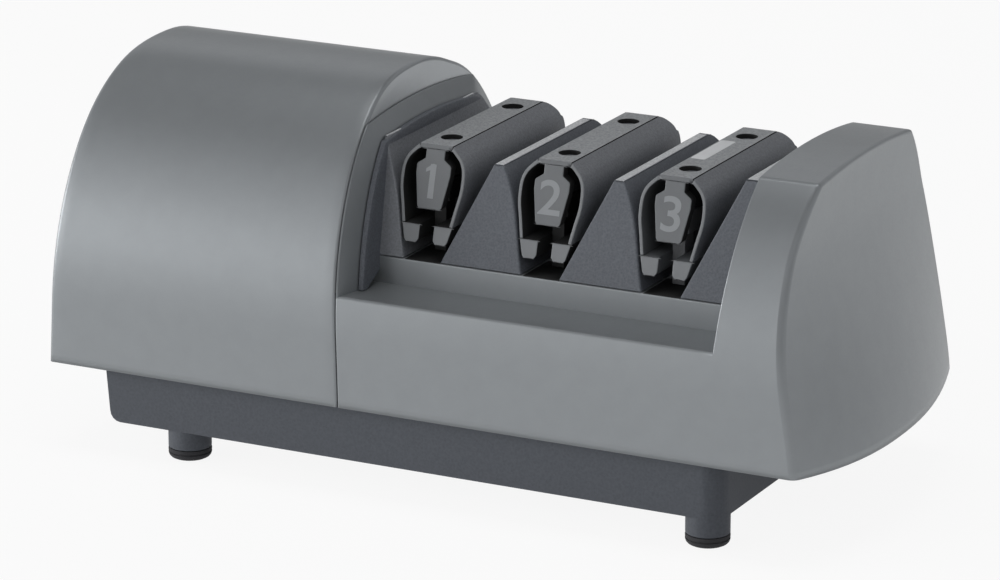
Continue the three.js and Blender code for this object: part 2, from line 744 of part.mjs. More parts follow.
// The left guide also carries the plate that fills the flange's bevelled frame.
function leftKnifeGuide() {
  const leftAt = (z) => flangeAt(z) + gap;
  const rightAt = (z) => Math.max(firstStageX - slotLeftAt(z), leftAt(z) + guidePlate);
  const low = ledgeHeight + gap;
  const frame = alongX(openLoop(low, flangeInset + gap, flangeTopInset + gap), 0, length);
  const levels = evenly(sideSteps).map((t) => low + (capHeight - low) * t);
  const face = levels.map((z) => [leftAt(z) + guidePlate, z]);
  const back = levels.toReversed().map((z) => [leftAt(z), z]);
  const plate = alongY([...face, ...back], -half, half).intersect(frame);
  const overDeck = block([0, -deckHalf - gap, 0], [length, deckHalf + gap, guideFloor]);
  return join(plate.subtract(overDeck), wedge(leftAt, rightAt, ridgeHeight));
}

function middleKnifeGuide(i) {
  const leftAt = (z) => stagePlaces[i] + slotRightAt(z);
  const rightAt = (z) => stagePlaces[i + 1] - slotLeftAt(z);
  return wedge(leftAt, rightAt, ridgeHeight);
}

function rightKnifeGuide() {
  const leftAt = (z) => lastStageX + slotRightAt(z);
  const rightAt = (z) => capAt(z) - gap;
  return wedge(leftAt, rightAt, lastRidgeHeight);
}

// The arch's outer line from foot to shoulder, as shares of its half width and its height.
const archShares = [
  [0.79, 0],
  [0.895, 0.241],
  [0.985, 0.439],
  [1, 0.61],
  [0.975, 0.73],
  [0.9, 0.82],
  [0.79, 0.89],
];

// Points moved to their left by a distance.
function offsetLine(points, distance) {
  return points.map(([a, b], i) => {
    const before = points[Math.max(0, i - 1)];
    const after = points[Math.min(points.length - 1, i + 1)];
    const along = new THREE.Vector2(after[0] - before[0], after[1] - before[1]).normalize();
    return [a - along.y * distance, b + along.x * distance];
  });
}

function guideArch(x) {
  const outer = archShares.map(([a, b]) => [archHalf * a, archFoot + (archTop - archFoot) * b]);
  outer.push([capPlateHalf + gap, archTop]);
  const inner = offsetLine(outer, archWall).filter(([, z]) => z < archWeb - webThickness);
  const webEdge = [inner.at(-1)[0] - webThickness, archWeb - webThickness];
  const shoulder = [[capPlateHalf + gap, archWeb], webEdge];
  const foot = [
    [footInner, archFoot],
    [footInner, footBottom + footChamfer],
    [footInner + footChamfer, footBottom],
    [footOuter - footTaper, footBottom],
    [outer[0][0], archFoot],
  ];
  const band = [...outer, ...shoulder, ...inner.toReversed()];
  const sides = [-1, 1].flatMap((side) => {
    const turn = (points) => points.map(([a, z]) => [x + side * a, z]);
    return [alongY(turn(band), -half, half), alongY(turn([...foot, outer[1], inner[1], inner[0]]), -half, half)];
  });
  const webHalf = capPlateHalf + gap + webThickness;
  const web = block([x - webHalf, -half, archWeb - webThickness], [x + webHalf, half, archWeb]);
  const faces = alongX(guideSide(0, footBottom, archTop, capPlateCorner), 0, length);
  const notch = block(
    [x - neckHalf - gap, -half, archWeb - overrun],
    [x + neckHalf + gap, plaqueThickness + gap - faceAt(archWeb), archWeb + overrun],
  );
  const discRoom = block([x - archHalf, -footSpan, footBottom - overrun], [x + archHalf, footSpan, archFoot + gap]);
  const holes = screwSides.map((y) =>
    rod(axisZ, bossRadius + gap, archWeb - overrun, archWeb + overrun, [x, y, 0]),
  );
  return cut(join(web, ...sides).intersect(faces), notch, discRoom, ...holes);
}
const screwSides = [-screwHalfPitch, screwHalfPitch];

// Half of the plaque's outline, as shares of its half width and of its height.
const plaqueShares = [
  [1, 0.93],
  [1, 0.71],
  [0.71, 0.09],
  [0.64, 0.025],
  [0.56, 0],
];

function guideCap(x, hasLabel) {
  const plateLow = capPlateTop - capPlateThickness;
  const faces = alongX(guideSide(0, plaqueBottom, capPlateTop, capPlateCorner), 0, length);
  const plate = block([x - capPlateHalf, -half, plateLow], [x + capPlateHalf, half, capPlateTop]).intersect(faces);
  const edge = plaqueShares.map(([a, b]) => [plaqueHalf * a, plaqueBottom + (plaqueTop - plaqueBottom) * b]);
  const right = [[neckHalf, capPlateTop - gap], [neckHalf, plaqueTop], ...edge].toReversed();
  const outline = [...right, ...right.toReversed().map(([a, z]) => [-a, z])].map(([a, z]) => [x + a, z]);
  const levels = [plaqueBottom - overrun, capPlateTop + overrun];
  const slab = alongX(
    [
      ...levels.map((z) => [plaqueThickness - faceAt(z), z]),
      ...levels.toReversed().map((z) => [-faceAt(z), z]),
    ],
    0,
    length,
  );
  const plaque = alongY(outline, -half, half).intersect(slab);
  const bosses = screwSides.map((y) => rod(axisZ, bossRadius, bossBottom, plateLow + gap, [x, y, 0]));
  const bores = screwSides.flatMap((y) => [
    rod(axisZ, counterbore, counterboreFloor, capPlateTop + overrun, [x, y, 0]),
    rod(axisZ, screwRadius + gap, bossBottom - overrun, capPlateTop, [x, y, 0], smallSteps),
  ]);
  const body = cut(join(plate, plaque, ...bosses), ...bores);
  return hasLabel ? body.subtract(labelBlock(x, gap / 2, capPlateTop - labelRecess, capPlateTop + overrun)) : body;
}

const labelBlock = (x, grow, low, high) =>
  block([x + labelLow.x - grow, labelLow.y - grow, low], [x + labelHigh.x + grow, labelHigh.y + grow, high]);
function blankLabel() {
  const low = capPlateTop - labelRecess + gap / 2;
  return labelBlock(lastStageX, -gap / 2, low, low + labelThickness);
}

// A rail under the arch's web on two legs that stand on the deck, clear of the discs.
function guidePost(x) {
  const top = bossBottom - gap;
  const rail = block([x - railHalf, -postOuter, top - railHeight], [x + railHalf, postOuter, top]);
  const legHalf = footInner - gap;
  const legs = [[-postOuter, -postInner], [postInner, postOuter]].map(([a, b]) =>
    block([x - legHalf, a, guideFloor], [x + legHalf, b, top]),
  );
  const bores = screwSides.map((y) =>
    rod(axisZ, screwRadius + gap, counterboreFloor - screwReach - gap, top + overrun, [x, y, 0], smallSteps),
  );
  const room = alongX(guideSide(plaqueThickness + gap, guideFloor - overrun, capPlateTop, capPlateCorner), 0, length);
  return cut(join(rail, ...legs).intersect(room), ...bores);
}

// A disc with a conical working face on its outer side and a spring pocket on its inner side.
function disc(x, side) {
  const bore = shaftRadius + gap;
  const profile = [
    [bore, discInner],
    [pocketInner, discInner],
    [pocketInner, pocketReach],
    [pocketOuter, pocketReach],
    [pocketOuter, discInner],
    [discRadius, discInner],
    [discRadius, discRimReach],
    [discHub, discHubReach],
    [bore, discHubReach],
    [bore, discInner],
  ];
  return turned(profile, axisX.clone().multiplyScalar(side), [x, 0, shaftHeight], discSteps);
}

class Helix extends THREE.Curve {
  getPoint(t, target = new THREE.Vector3()) {
    const angle = 2 * Math.PI * springTurns * t;
    const reach = pocketReach - gap - springWire / 2;
    return target.set(reach * (2 * t - 1), springRadius * Math.cos(angle), springRadius * Math.sin(angle));
  }
}
function discSpring(x) {
  const corners = evenly(helixSides).slice(1).map((t) => {
    const angle = 2 * Math.PI * t;
    return new THREE.Vector2((springWire / 2) * Math.cos(angle), (springWire / 2) * Math.sin(angle));
  });
  const path = new Helix();
  const steps = Math.round(springTurns * helixSteps);
  const geometry = new THREE.ExtrudeGeometry(new THREE.Shape(corners), { steps, extrudePath: path });
  return solid(geometry.translate(x, 0, shaftHeight));
}

const sleeve = (from, to) =>
  tube(axisX, shaftRadius + gap, sleeveRadius, from, to, [0, 0, shaftHeight], roundSteps);
const driveShaft = () =>
  rod(axisX, shaftRadius, shaftLeft, blockLeft() + blockLength + shaftStub, [0, 0, shaftHeight]);

function statorCore() {
  const body = block([coreLeft, coreFront, coreBottom], [coreRight, coreRear, coreTop]);
  const bore = rod(axisX, coreBore, 0, seamX, [0, 0, shaftHeight], discSteps);
  const room = block(
    [0, windowInner, coreBottom + windowMargin],
    [seamX, windowLimb, coreTop - windowMargin],
  );
  return cut(body, bore, room);
}

// A frame round the core's rear limb, between two sizes and two heights.
function limbRing(inner, outer, low, high) {
  const side = (grow, from, to) =>
    block([coreLeft - grow, windowLimb - grow, from], [coreRight + grow, coreRear + grow, to]);
  return side(outer, low, high).subtract(side(inner, low - overrun, high + overrun));
}
const coilLow = coreBottom + coilMargin;
const coilHigh = coreTop - coilMargin;
function coilBobbin() {
  const outer = gap + bobbinWall;
  const full = outer + coilDepth;
  return join(
    limbRing(gap, outer, coilLow - bobbinWall, coilHigh + bobbinWall),
    limbRing(gap, full, coilLow - bobbinWall, coilLow),
    limbRing(gap, full, coilHigh, coilHigh + bobbinWall),
  );
}
const fieldCoil = () =>
  limbRing(2 * gap + bobbinWall, gap + bobbinWall + coilDepth, coilLow + gap, coilHigh - gap);

function motorRotor() {
  const middle = (coreLeft + coreRight) / 2;
  const reach = (coreRight - coreLeft) / 2 - rotorRecess;
  return tube(axisX, shaftRadius + gap, coreBore - rotorAirGap, -reach, reach, [middle, 0, shaftHeight], discSteps);
}

function coolingFan() {
  const centre = [0, 0, shaftHeight];
  const hub = tube(axisX, shaftRadius + gap, fanHub, fanX, fanX + fanLength, centre, roundSteps);
  const plate = tube(axisX, shaftRadius + gap, fanRadius, fanX, fanX + fanPlate, centre, roundSteps);
  const blades = Array.from({ length: fanBladeCount }, (_, i) => {
    const geometry = new THREE.BoxGeometry(fanLength, fanRadius - fanHub + fanBlade, fanBlade);
    geometry.translate(fanX + fanLength / 2, (fanRadius + fanHub - fanBlade) / 2, 0);
    geometry.rotateX((2 * Math.PI * i) / fanBladeCount);
    return solid(geometry.translate(...centre));
  });
  return join(hub, plate, ...blades);
}

// Bearing brackets: a bar with a hub, held off the core by two standoffs.
const bracketFaces = { left: coreLeft - bracketGap, right: coreRight + bracketGap };
function bearingBracket(side) {
  const way = side === "left" ? -1 : 1;
  const face = bracketFaces[side];
  const core = face - way * (bracketGap - gap);
  const order = (a, b) => (a < b ? [a, b] : [b, a]);
  const [low, high] = order(face, face + way * bracketThickness);
  const bar = block([low, -bracketHalf, coreBottom + bracketMargin], [high, bracketHalf, coreTop - bracketMargin]);
  const hubEnds = order(face, face + way * bushLength);
  const hub = rod(axisX, bracketHub, ...hubEnds, [0, 0, shaftHeight]);
  const bore = rod(axisX, bushRadius + gap, low - overrun, high + bushLength + overrun, [0, 0, shaftHeight]);
  const wide = rod(axisX, bushRadius + gap, low - bushLength - overrun, high, [0, 0, shaftHeight]);
  const margin = bracketMargin + standoffRadius;
  const standoffs = [coreBottom + margin - gap, coreTop - margin + gap].map((z) =>
    rod(axisX, standoffRadius, ...order(core, face + way * gap), [0, 0, z], smallSteps),
  );
  return cut(join(bar, hub, ...standoffs), bore, wide);
}
const bush = (from) =>
  tube(axisX, shaftRadius + gap, bushRadius, from, from + bushLength, [0, 0, shaftHeight], roundSteps);

// A pillar on the tray's floor that holds the shaft's far end.
const blockLeft = () => coverRight + gap;
function endBearingBlock() {
  const left = blockLeft();
  const right = left + blockLength;
  const floor = trayWall + gap - trayDrop;
  const body = block([left, -blockHalf, floor], [right, blockHalf, shaftHeight + blockShoulder]);
  return body.subtract(rod(axisX, bushRadius + gap, left - overrun, right + overrun, [0, 0, shaftHeight]));
}

// Rocker switch.
const switchFace = half - gap;
function switchBox(inset, near, far) {
  const [w, h] = [switchWidth / 2 - inset, switchTall / 2 - inset];
  return block([switchX - w, near, switchHeight - h], [switchX + w, far, switchHeight + h]);
}
const switchHole = (inset) => switchBox(inset, half - wall - overrun, half + overrun);
function switchBody() {
  const back = switchFace - switchDepth;
  const cavity = switchBox(gap + switchWall, back + switchWall, half + overrun);
  return switchBox(gap, back, switchFace).subtract(cavity);
}
function switchRocker() {
  const reach = Math.sqrt(rockerRadius ** 2 - rockerHalf ** 2);
  const outline = [
    [reach, rockerHalf],
    [reach - rockerDish, 0],
    [reach, -rockerHalf],
    [-rockerHalf / 2, -rockerHalf / 2],
    [-rockerHalf / 2, rockerHalf / 2],
  ];
  const span = switchWidth / 2 - 2 * gap - switchWall;
  return alongX(outline, -span, span);
}

const inletHole = () =>
  rod(axisY, inletRadius, half - wall - overrun, half + overrun, [inletX, 0, inletHeight]);
function cordGrommet() {
  const inside = half - wall - gap;
  const profile = [
    [inletBore, half - gap - grommetDepth],
    [grommetCollar, half - gap - grommetDepth],
    [grommetCollar, inside],
    [inletRadius - gap, inside],
    [inletRadius - gap, half - gap],
    [inletBore, half - gap],
    [inletBore, half - gap - grommetDepth],
  ];
  return turned(profile, axisY, [inletX, 0, inletHeight]);
}

// Assembly.
const sharpener = new THREE.Group();
sharpener.position.set(-length / 2, 0, trayDrop + footReach);
function add(name, made, material) {
  const mesh = new THREE.Mesh(geometryOf(made), material);
  mesh.name = name;
  sharpener.add(mesh);
  return mesh;
}

add("motor_housing", motorHousing(), materials.housing);
add("guide_housing", guideHousing(), materials.housing);
add("base_tray", baseTray(), materials.tray);
add("filings_cover", filingsCover(), materials.tray);
const cornerNames = ["front_left", "rear_left", "front_right", "rear_right"];
footPlaces().forEach(([x, y], i) => add(`rubber_foot_${cornerNames[i]}`, rubberFoot(x, y), materials.rubber));
const baseScrew = {
  head: baseScrewHeadHeight - gap,
  headRadius: baseScrewHead,
  radius: baseScrewRadius,
  reach: baseScrewReach,
};
const baseSeat = plateRecess + plateThickness / 2 - gap;
screwPlaces().forEach((place, i) =>
  add(`base_screw_${cornerNames[i]}`, screw(place, baseSeat, 1, baseScrew), materials.steel),
);

add("left_knife_guide", leftKnifeGuide(), materials.guide);
stagePlaces.slice(1).forEach((_, i) =>
  add(`knife_guide_${i + 1}_${i + 2}`, middleKnifeGuide(i), materials.guide),
);
add("right_knife_guide", rightKnifeGuide(), materials.guide);

const guideScrew = {
  head: screwHeadHeight,
  headRadius: screwHeadRadius,
  radius: screwRadius,
  reach: screwReach - gap,
};
stagePlaces.forEach((x, i) => {
  const stage = i + 1;
  add(`guide_arch_${stage}`, guideArch(x), materials.guide);
  add(`guide_cap_${stage}`, guideCap(x, stage === stageCount), materials.cap);
  add(`guide_post_${stage}`, guidePost(x), materials.post);
  screwSides.forEach((y, j) => {
    const made = screw([x, y], counterboreFloor + gap, -1, guideScrew);
    add(`guide_screw_${stage}_${["front", "rear"][j]}`, made, materials.darkSteel);
  });
  add(`sharpening_disc_${stage}_left`, disc(x, -1), materials.steel);
  add(`sharpening_disc_${stage}_right`, disc(x, 1), materials.steel);
  add(`disc_spring_${stage}`, discSpring(x), materials.steel);
});
add("blank_label", blankLabel(), materials.label);

const stop = discHubReach + gap;
add("drive_shaft", driveShaft(), materials.steel);
add("sleeve_left", sleeve(bracketFaces.right + bushLength + gap, firstStageX - stop), materials.steel);
stagePlaces.slice(1).forEach((x, i) =>
  add(`sleeve_${i + 1}_${i + 2}`, sleeve(x - stagePitch + stop, x - stop), materials.steel),
);
add("sleeve_right", sleeve(lastStageX + stop, blockLeft() - gap), materials.steel);

add("stator_core", statorCore(), materials.core);
add("coil_bobbin", coilBobbin(), materials.black);
add("field_coil", fieldCoil(), materials.copper);
add("motor_rotor", motorRotor(), materials.core);
add("cooling_fan", coolingFan(), materials.black);
add("bearing_bracket_left", bearingBracket("left"), materials.aluminium);
add("bearing_bracket_right", bearingBracket("right"), materials.aluminium);
add("end_bearing_block", endBearingBlock(), materials.aluminium);
add("bearing_bush_left", bush(bracketFaces.left - bushLength), materials.bronze);
add("bearing_bush_right", bush(bracketFaces.right), materials.bronze);
add("bearing_bush_end", bush(blockLeft()), materials.bronze);

add("switch_body", switchBody(), materials.black);
const rocker = add("switch_rocker", switchRocker(), materials.black);
rocker.position.set(switchX, half - rockerPivot, switchHeight);
rocker.rotation.x = THREE.MathUtils.degToRad(-rockerTilt);
add("cord_grommet", cordGrommet(), materials.rubber);

export default sharpener;
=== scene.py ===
"""Looks of an electric knife sharpener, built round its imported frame.

Every class holds one sub-assembly. Its sizes are millimetres from the housings' left end, their middle and
their lower edge, and `place` turns them into the frame's metres. Shapes are grids of points worked out with
numpy and welded into one mesh for each piece.
"""

from __future__ import annotations

import json
import logging
import math
from contextlib import contextmanager
from dataclasses import dataclass, field, replace
from enum import Enum
from typing import Callable, Iterable, Iterator, Sequence

import bmesh
import bpy
import numpy as np
from bpy.types import Mesh, NodeSocket, NodeTree, Object
from mathutils import Matrix, Vector

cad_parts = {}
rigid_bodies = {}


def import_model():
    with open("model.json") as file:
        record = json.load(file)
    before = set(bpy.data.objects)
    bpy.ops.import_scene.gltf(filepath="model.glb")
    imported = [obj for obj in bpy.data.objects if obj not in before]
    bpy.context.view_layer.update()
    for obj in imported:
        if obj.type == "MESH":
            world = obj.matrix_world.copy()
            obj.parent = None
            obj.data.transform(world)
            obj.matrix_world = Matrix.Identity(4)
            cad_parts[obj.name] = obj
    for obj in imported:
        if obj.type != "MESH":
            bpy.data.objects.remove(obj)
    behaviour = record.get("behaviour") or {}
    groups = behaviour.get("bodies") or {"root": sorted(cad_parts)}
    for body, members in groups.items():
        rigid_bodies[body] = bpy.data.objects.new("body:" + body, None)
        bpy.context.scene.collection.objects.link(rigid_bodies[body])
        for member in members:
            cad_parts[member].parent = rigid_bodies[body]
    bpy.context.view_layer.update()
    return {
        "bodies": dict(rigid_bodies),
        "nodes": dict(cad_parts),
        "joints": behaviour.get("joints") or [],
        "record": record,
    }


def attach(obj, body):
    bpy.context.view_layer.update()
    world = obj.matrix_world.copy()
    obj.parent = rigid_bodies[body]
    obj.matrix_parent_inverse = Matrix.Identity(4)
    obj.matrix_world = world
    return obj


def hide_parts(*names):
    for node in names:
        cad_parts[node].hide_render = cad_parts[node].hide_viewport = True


LOG = logging.getLogger("knife_sharpener")
BODY = "appliance"
MM = 0.001
SHIFT = np.array([-129.0, 0.0, 27.2])
SMOOTH_BELOW = 50.0
HAIR = 1e-6  # a length or share that counts as nothing
STAGES = (117.9, 156.7, 195.5)
Array = np.ndarray
Wall = Callable[[Array], Array]


class Face(Enum):
    """Faces of a moulding, so that the edge between two of them gets its own radius."""

    SIDE = 1
    END = 2
    TOP = 3
    INNER = 4
    LEDGE = 5
    STEP = 6
    DECK = 7
    FRONT = 8
    REAR = 9
    LEFT = 10
    RIGHT = 11
    FLOOR = 12
    # The two faces below are painted dark: painted shade in recesses and on inner walls.
    BORE = 13
    LINING = 14


Radii = dict[tuple[Face, Face], float]


def place(points: Array) -> Array:
    """Millimetres of the housings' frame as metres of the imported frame."""
    return (points + SHIFT) * MM


def smooth_step(value: Array) -> Array:
    """Nought below nought, one above one, and an even S between them."""
    share = np.clip(value, 0.0, 1.0)
    return share * share * (3.0 - 2.0 * share)


def stack(x: Array | float, y: Array | float, z: Array | float) -> Array:
    """Three coordinate grids or numbers, spread to one shape, as one grid of points."""
    return np.stack(np.broadcast_arrays(x, y, z), axis=-1).astype(float)


def closed(ring: Array) -> Array:
    """A ring of points with its first one again at the end."""
    return np.vstack([ring, ring[:1]])


def between(first: Array, second: Array, shares: Array) -> Array:
    """Rows of points that go straight from one line of points to another, one row for each share."""
    way = shares[:, None, None]
    return first[None] * (1.0 - way) + second[None] * way


def run_along(line: Array) -> Array:
    """The length of a line up to each of its points."""
    return np.concatenate([[0.0], np.cumsum(np.linalg.norm(np.diff(line, axis=0), axis=1))])


def follow(line: Array, shares: Array) -> Array:
    """Points at shares of a line's length, straight between its own points."""
    run = run_along(line)
    return np.stack([np.interp(shares * run[-1], run, line[:, k]) for k in range(line.shape[1])], axis=-1)


def curve_through(line: Array, steps: int) -> Array:
    """A smooth line through points: each stretch is the cubic whose slopes are the neighbours' chords.

    Args:
        line: The points that it passes, n by 2.
        steps: Pieces in each stretch.

    Returns:
        The line's points, ends included.
    """
    padded = np.vstack([2 * line[0] - line[1], line, 2 * line[-1] - line[-2]])
    t = np.linspace(0.0, 1.0, steps, endpoint=False)[None, :, None]
    a, b, c, d = (padded[k : len(padded) - 3 + k, None] for k in range(4))
    body = 0.5 * (2 * b + (c - a) * t + (2 * a - 5 * b + 4 * c - d) * t**2 + (3 * b - a - 3 * c + d) * t**3)
    return np.vstack([body.reshape(-1, 2), line[-1]])


def offset_line(line: Array, distance: float) -> Array:
    """A line in a plane moved to its left by a distance, square to the chord of each point's neighbours."""
    chord = np.gradient(line, axis=0)
    chord /= np.linalg.norm(chord, axis=1, keepdims=True)
    return line + distance * np.stack([-chord[:, 1], chord[:, 0]], axis=-1)


def round_corners(outline: Array, radius: Sequence[float], steps: int = 4) -> Array:
    """A closed outline whose corners are arcs that touch both sides.

    Args:
        outline: Corners, n by 2.
        radius: Each corner's radius.
        steps: Pieces in each arc.

    Returns:
        The rounded outline's points.
    """
    corner = np.asarray(outline, float)
    back, ahead = np.roll(corner, 1, axis=0) - corner, np.roll(corner, -1, axis=0) - corner
    back /= np.linalg.norm(back, axis=1, keepdims=True)
    ahead /= np.linalg.norm(ahead, axis=1, keepdims=True)
    size = np.asarray(radius, float)[:, None]
    half = np.arccos(np.clip((back * ahead).sum(axis=1), -1.0, 1.0))[:, None] / 2
    middle = (back + ahead) / np.linalg.norm(back + ahead, axis=1, keepdims=True)
    centre = corner + middle * size / np.sin(half)
    start = corner + back * size / np.tan(half) - centre
    stop = corner + ahead * size / np.tan(half) - centre
    t = np.linspace(0.0, 1.0, steps + 1)[None, :, None]
    arc = start[:, None] * (1 - t) + stop[:, None] * t
    arc = arc / np.maximum(np.linalg.norm(arc, axis=2, keepdims=True), HAIR) * size[:, None]
    return (centre[:, None] + arc).reshape(-1, 2)


def read(items: bpy.types.bpy_prop_collection, name: str, width: int = 1, kind: type = float) -> Array:
    """One property of all items of a mesh, with a row for each item where it has more numbers than one."""
    values = np.empty(len(items) * width, kind)
    items.foreach_get(name, values)
    return values.reshape(-1, width) if width > 1 else values


def new_object(name: str, data: bpy.types.ID) -> Object:
    """An object with its data, linked to the scene."""
    made = bpy.data.objects.new(name, data)
    bpy.context.collection.objects.link(made)
    return made


@contextmanager
def edited(mesh: Mesh) -> Iterator[bmesh.types.BMesh]:
    """A mesh opened for changes, which are written back at the end."""
    made = bmesh.new()
    made.from_mesh(mesh)
    yield made
    made.to_mesh(mesh)
    made.free()


class Skin:
    """Grids of points in the housings' frame, welded into one mesh with a face name on each cell."""

    def __init__(self) -> None:
        """Starts with no grids."""
        self._points: list[Array] = []
        self._cells: list[Array] = []
        self._faces: list[Array] = []
        self._count = 0

    def grid(self, points: Array, face: Face = Face.SIDE, keep: Array | None = None) -> None:
        """Adds a grid of cells.

        Args:
            points: Rows by columns of points.
            face: The moulding's face that the grid lies in.
            keep: Rows by columns of cells, true where a cell is filled.
        """
        rows, columns = points.shape[:2]
        index = np.arange(rows * columns).reshape(rows, columns) + self._count
        cells = np.stack([index[:-1, :-1], index[1:, :-1], index[1:, 1:], index[:-1, 1:]], axis=-1)
        cells = cells.reshape(-1, 4) if keep is None else cells[keep]
        self._points.append(points.reshape(-1, 3))
        self._cells.append(cells)
        self._faces.append(np.full(len(cells), face.value))
        self._count += rows * columns

    def fan(self, ring: Array) -> None:
        """Closes a ring of points with thin cells that meet in its middle."""
        outer = closed(ring)
        middle = np.broadcast_to(ring.mean(axis=0), outer.shape)
        self.grid(np.stack([outer, outer * 0.5 + middle * 0.5, middle]))

    def halves(self, ring: Array, face: Face) -> None:
        """Closes a ring that is one line out and the same number of points back, cell by cell."""
        half = len(ring) // 2
        self.grid(np.stack([ring[:half], ring[half:][::-1]]), face)

    def mesh(self, name: str) -> Mesh:
        """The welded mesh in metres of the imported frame, its faces turned outwards."""
        mesh = bpy.data.meshes.new(name)
        mesh.from_pydata(place(np.vstack(self._points)).tolist(), [], np.vstack(self._cells).tolist())
        mark = mesh.attributes.new("face_name", "INT", "FACE")
        mark.data.foreach_set("value", np.concatenate(self._faces).astype(np.int32))
        with edited(mesh) as made:
            bmesh.ops.remove_doubles(made, verts=made.verts, dist=0.012 * MM)
            bmesh.ops.dissolve_degenerate(made, edges=made.edges, dist=0.004 * MM)
            bmesh.ops.delete(made, geom=[v for v in made.verts if not v.link_faces], context="VERTS")
            bmesh.ops.recalc_face_normals(made, faces=made.faces)
        centres, areas = read(mesh.polygons, "center", 3), read(mesh.polygons, "area")[:, None]
        middle = (centres * areas).sum(axis=0) / areas.sum()
        if ((centres - middle) * read(mesh.polygons, "normal", 3) * areas).sum() < 0:
            mesh.flip_normals()
        return mesh


def weigh_edges(mesh: Mesh, radii: Radii, least: float = 18.0) -> float:
    """Gives each sharp edge its share of the largest radius, by the two faces that it parts.

    Args:
        mesh: A welded mesh with the face_name attribute.
        radii: Millimetres for each pair of faces.
        least: Degrees below which an edge counts as smooth.

    Returns:
        The largest radius, in metres.
    """
    names = read(mesh.attributes["face_name"].data, "value", kind=np.int32)
    normals = read(mesh.polygons, "normal", 3)
    owner = np.repeat(np.arange(len(names)), read(mesh.polygons, "loop_total", kind=np.int32))
    edges = read(mesh.loops, "edge_index", kind=np.int32)
    order = np.argsort(edges, kind="stable")
    edges, owner = edges[order], owner[order]
    twice = np.flatnonzero(edges[:-1] == edges[1:])
    first, second, index = owner[twice], owner[twice + 1], edges[twice]
    sharp = (normals[first] * normals[second]).sum(axis=1) < math.cos(math.radians(least))
    found = np.sort(np.stack([names[first], names[second]], axis=-1), axis=1)
    weights = np.zeros(len(mesh.edges), np.float32)
    for pair, radius in radii.items():
        match = np.all(found == sorted(face.value for face in pair), axis=1)
        weights[index[match & sharp]] = radius / max(radii.values())
    mesh.attributes.new("bevel_weight_edge", "FLOAT", "EDGE").data.foreach_set("value", weights)
    return max(radii.values()) * MM


def add_rounding(piece: Object, width: float, segments: int, method: str) -> bpy.types.Modifier:
    """Rounds a piece's edges by a width in metres, and returns the modifier that does it."""
    rounding = piece.modifiers.new("rounded_edges", "BEVEL")
    rounding.width, rounding.segments, rounding.limit_method = width, segments, method
    return rounding


def finish_piece(
    mesh: Mesh,
    radii: Radii | None = None,
    wall: float = 0.0,
    steps: int = 3,
    even: bool = True,
    coats: dict[Face, int] | None = None,
) -> Object:
    """An object of a mesh with rounded edges, a wall thickness and even shading.

    Args:
        mesh: The welded mesh.
        radii: Millimetres for each pair of faces, or none.
        wall: Millimetres that an open skin is thick, inwards, or nought.
        steps: Pieces in each rounded edge.
        even: Whether large faces keep their own shading beside small ones.
        coats: The material's number for faces that don't have the first one.

    Returns:
        The object, linked to the scene.
    """
    if coats:
        names = read(mesh.attributes["face_name"].data, "value", kind=np.int32)
        numbers = sum((names == face.value) * number for face, number in coats.items())
        mesh.polygons.foreach_set("material_index", numbers.astype(np.int32))
    piece = new_object(mesh.name, mesh)
    mesh.polygons.foreach_set("use_smooth", [True] * len(mesh.polygons))
    if radii:
        add_rounding(piece, weigh_edges(mesh, radii), steps, "WEIGHT").use_clamp_overlap = False
    mesh.attributes.remove(mesh.attributes["face_name"])
    if wall:
        shell = piece.modifiers.new("wall", "SOLIDIFY")
        shell.thickness, shell.offset, shell.use_even_offset = wall * MM, -1.0, True
    if even:
        piece.modifiers.new("even_shading", "WEIGHTED_NORMAL").keep_sharp = True
        mesh.set_sharp_from_angle(angle=math.radians(SMOOTH_BELOW))
    return piece


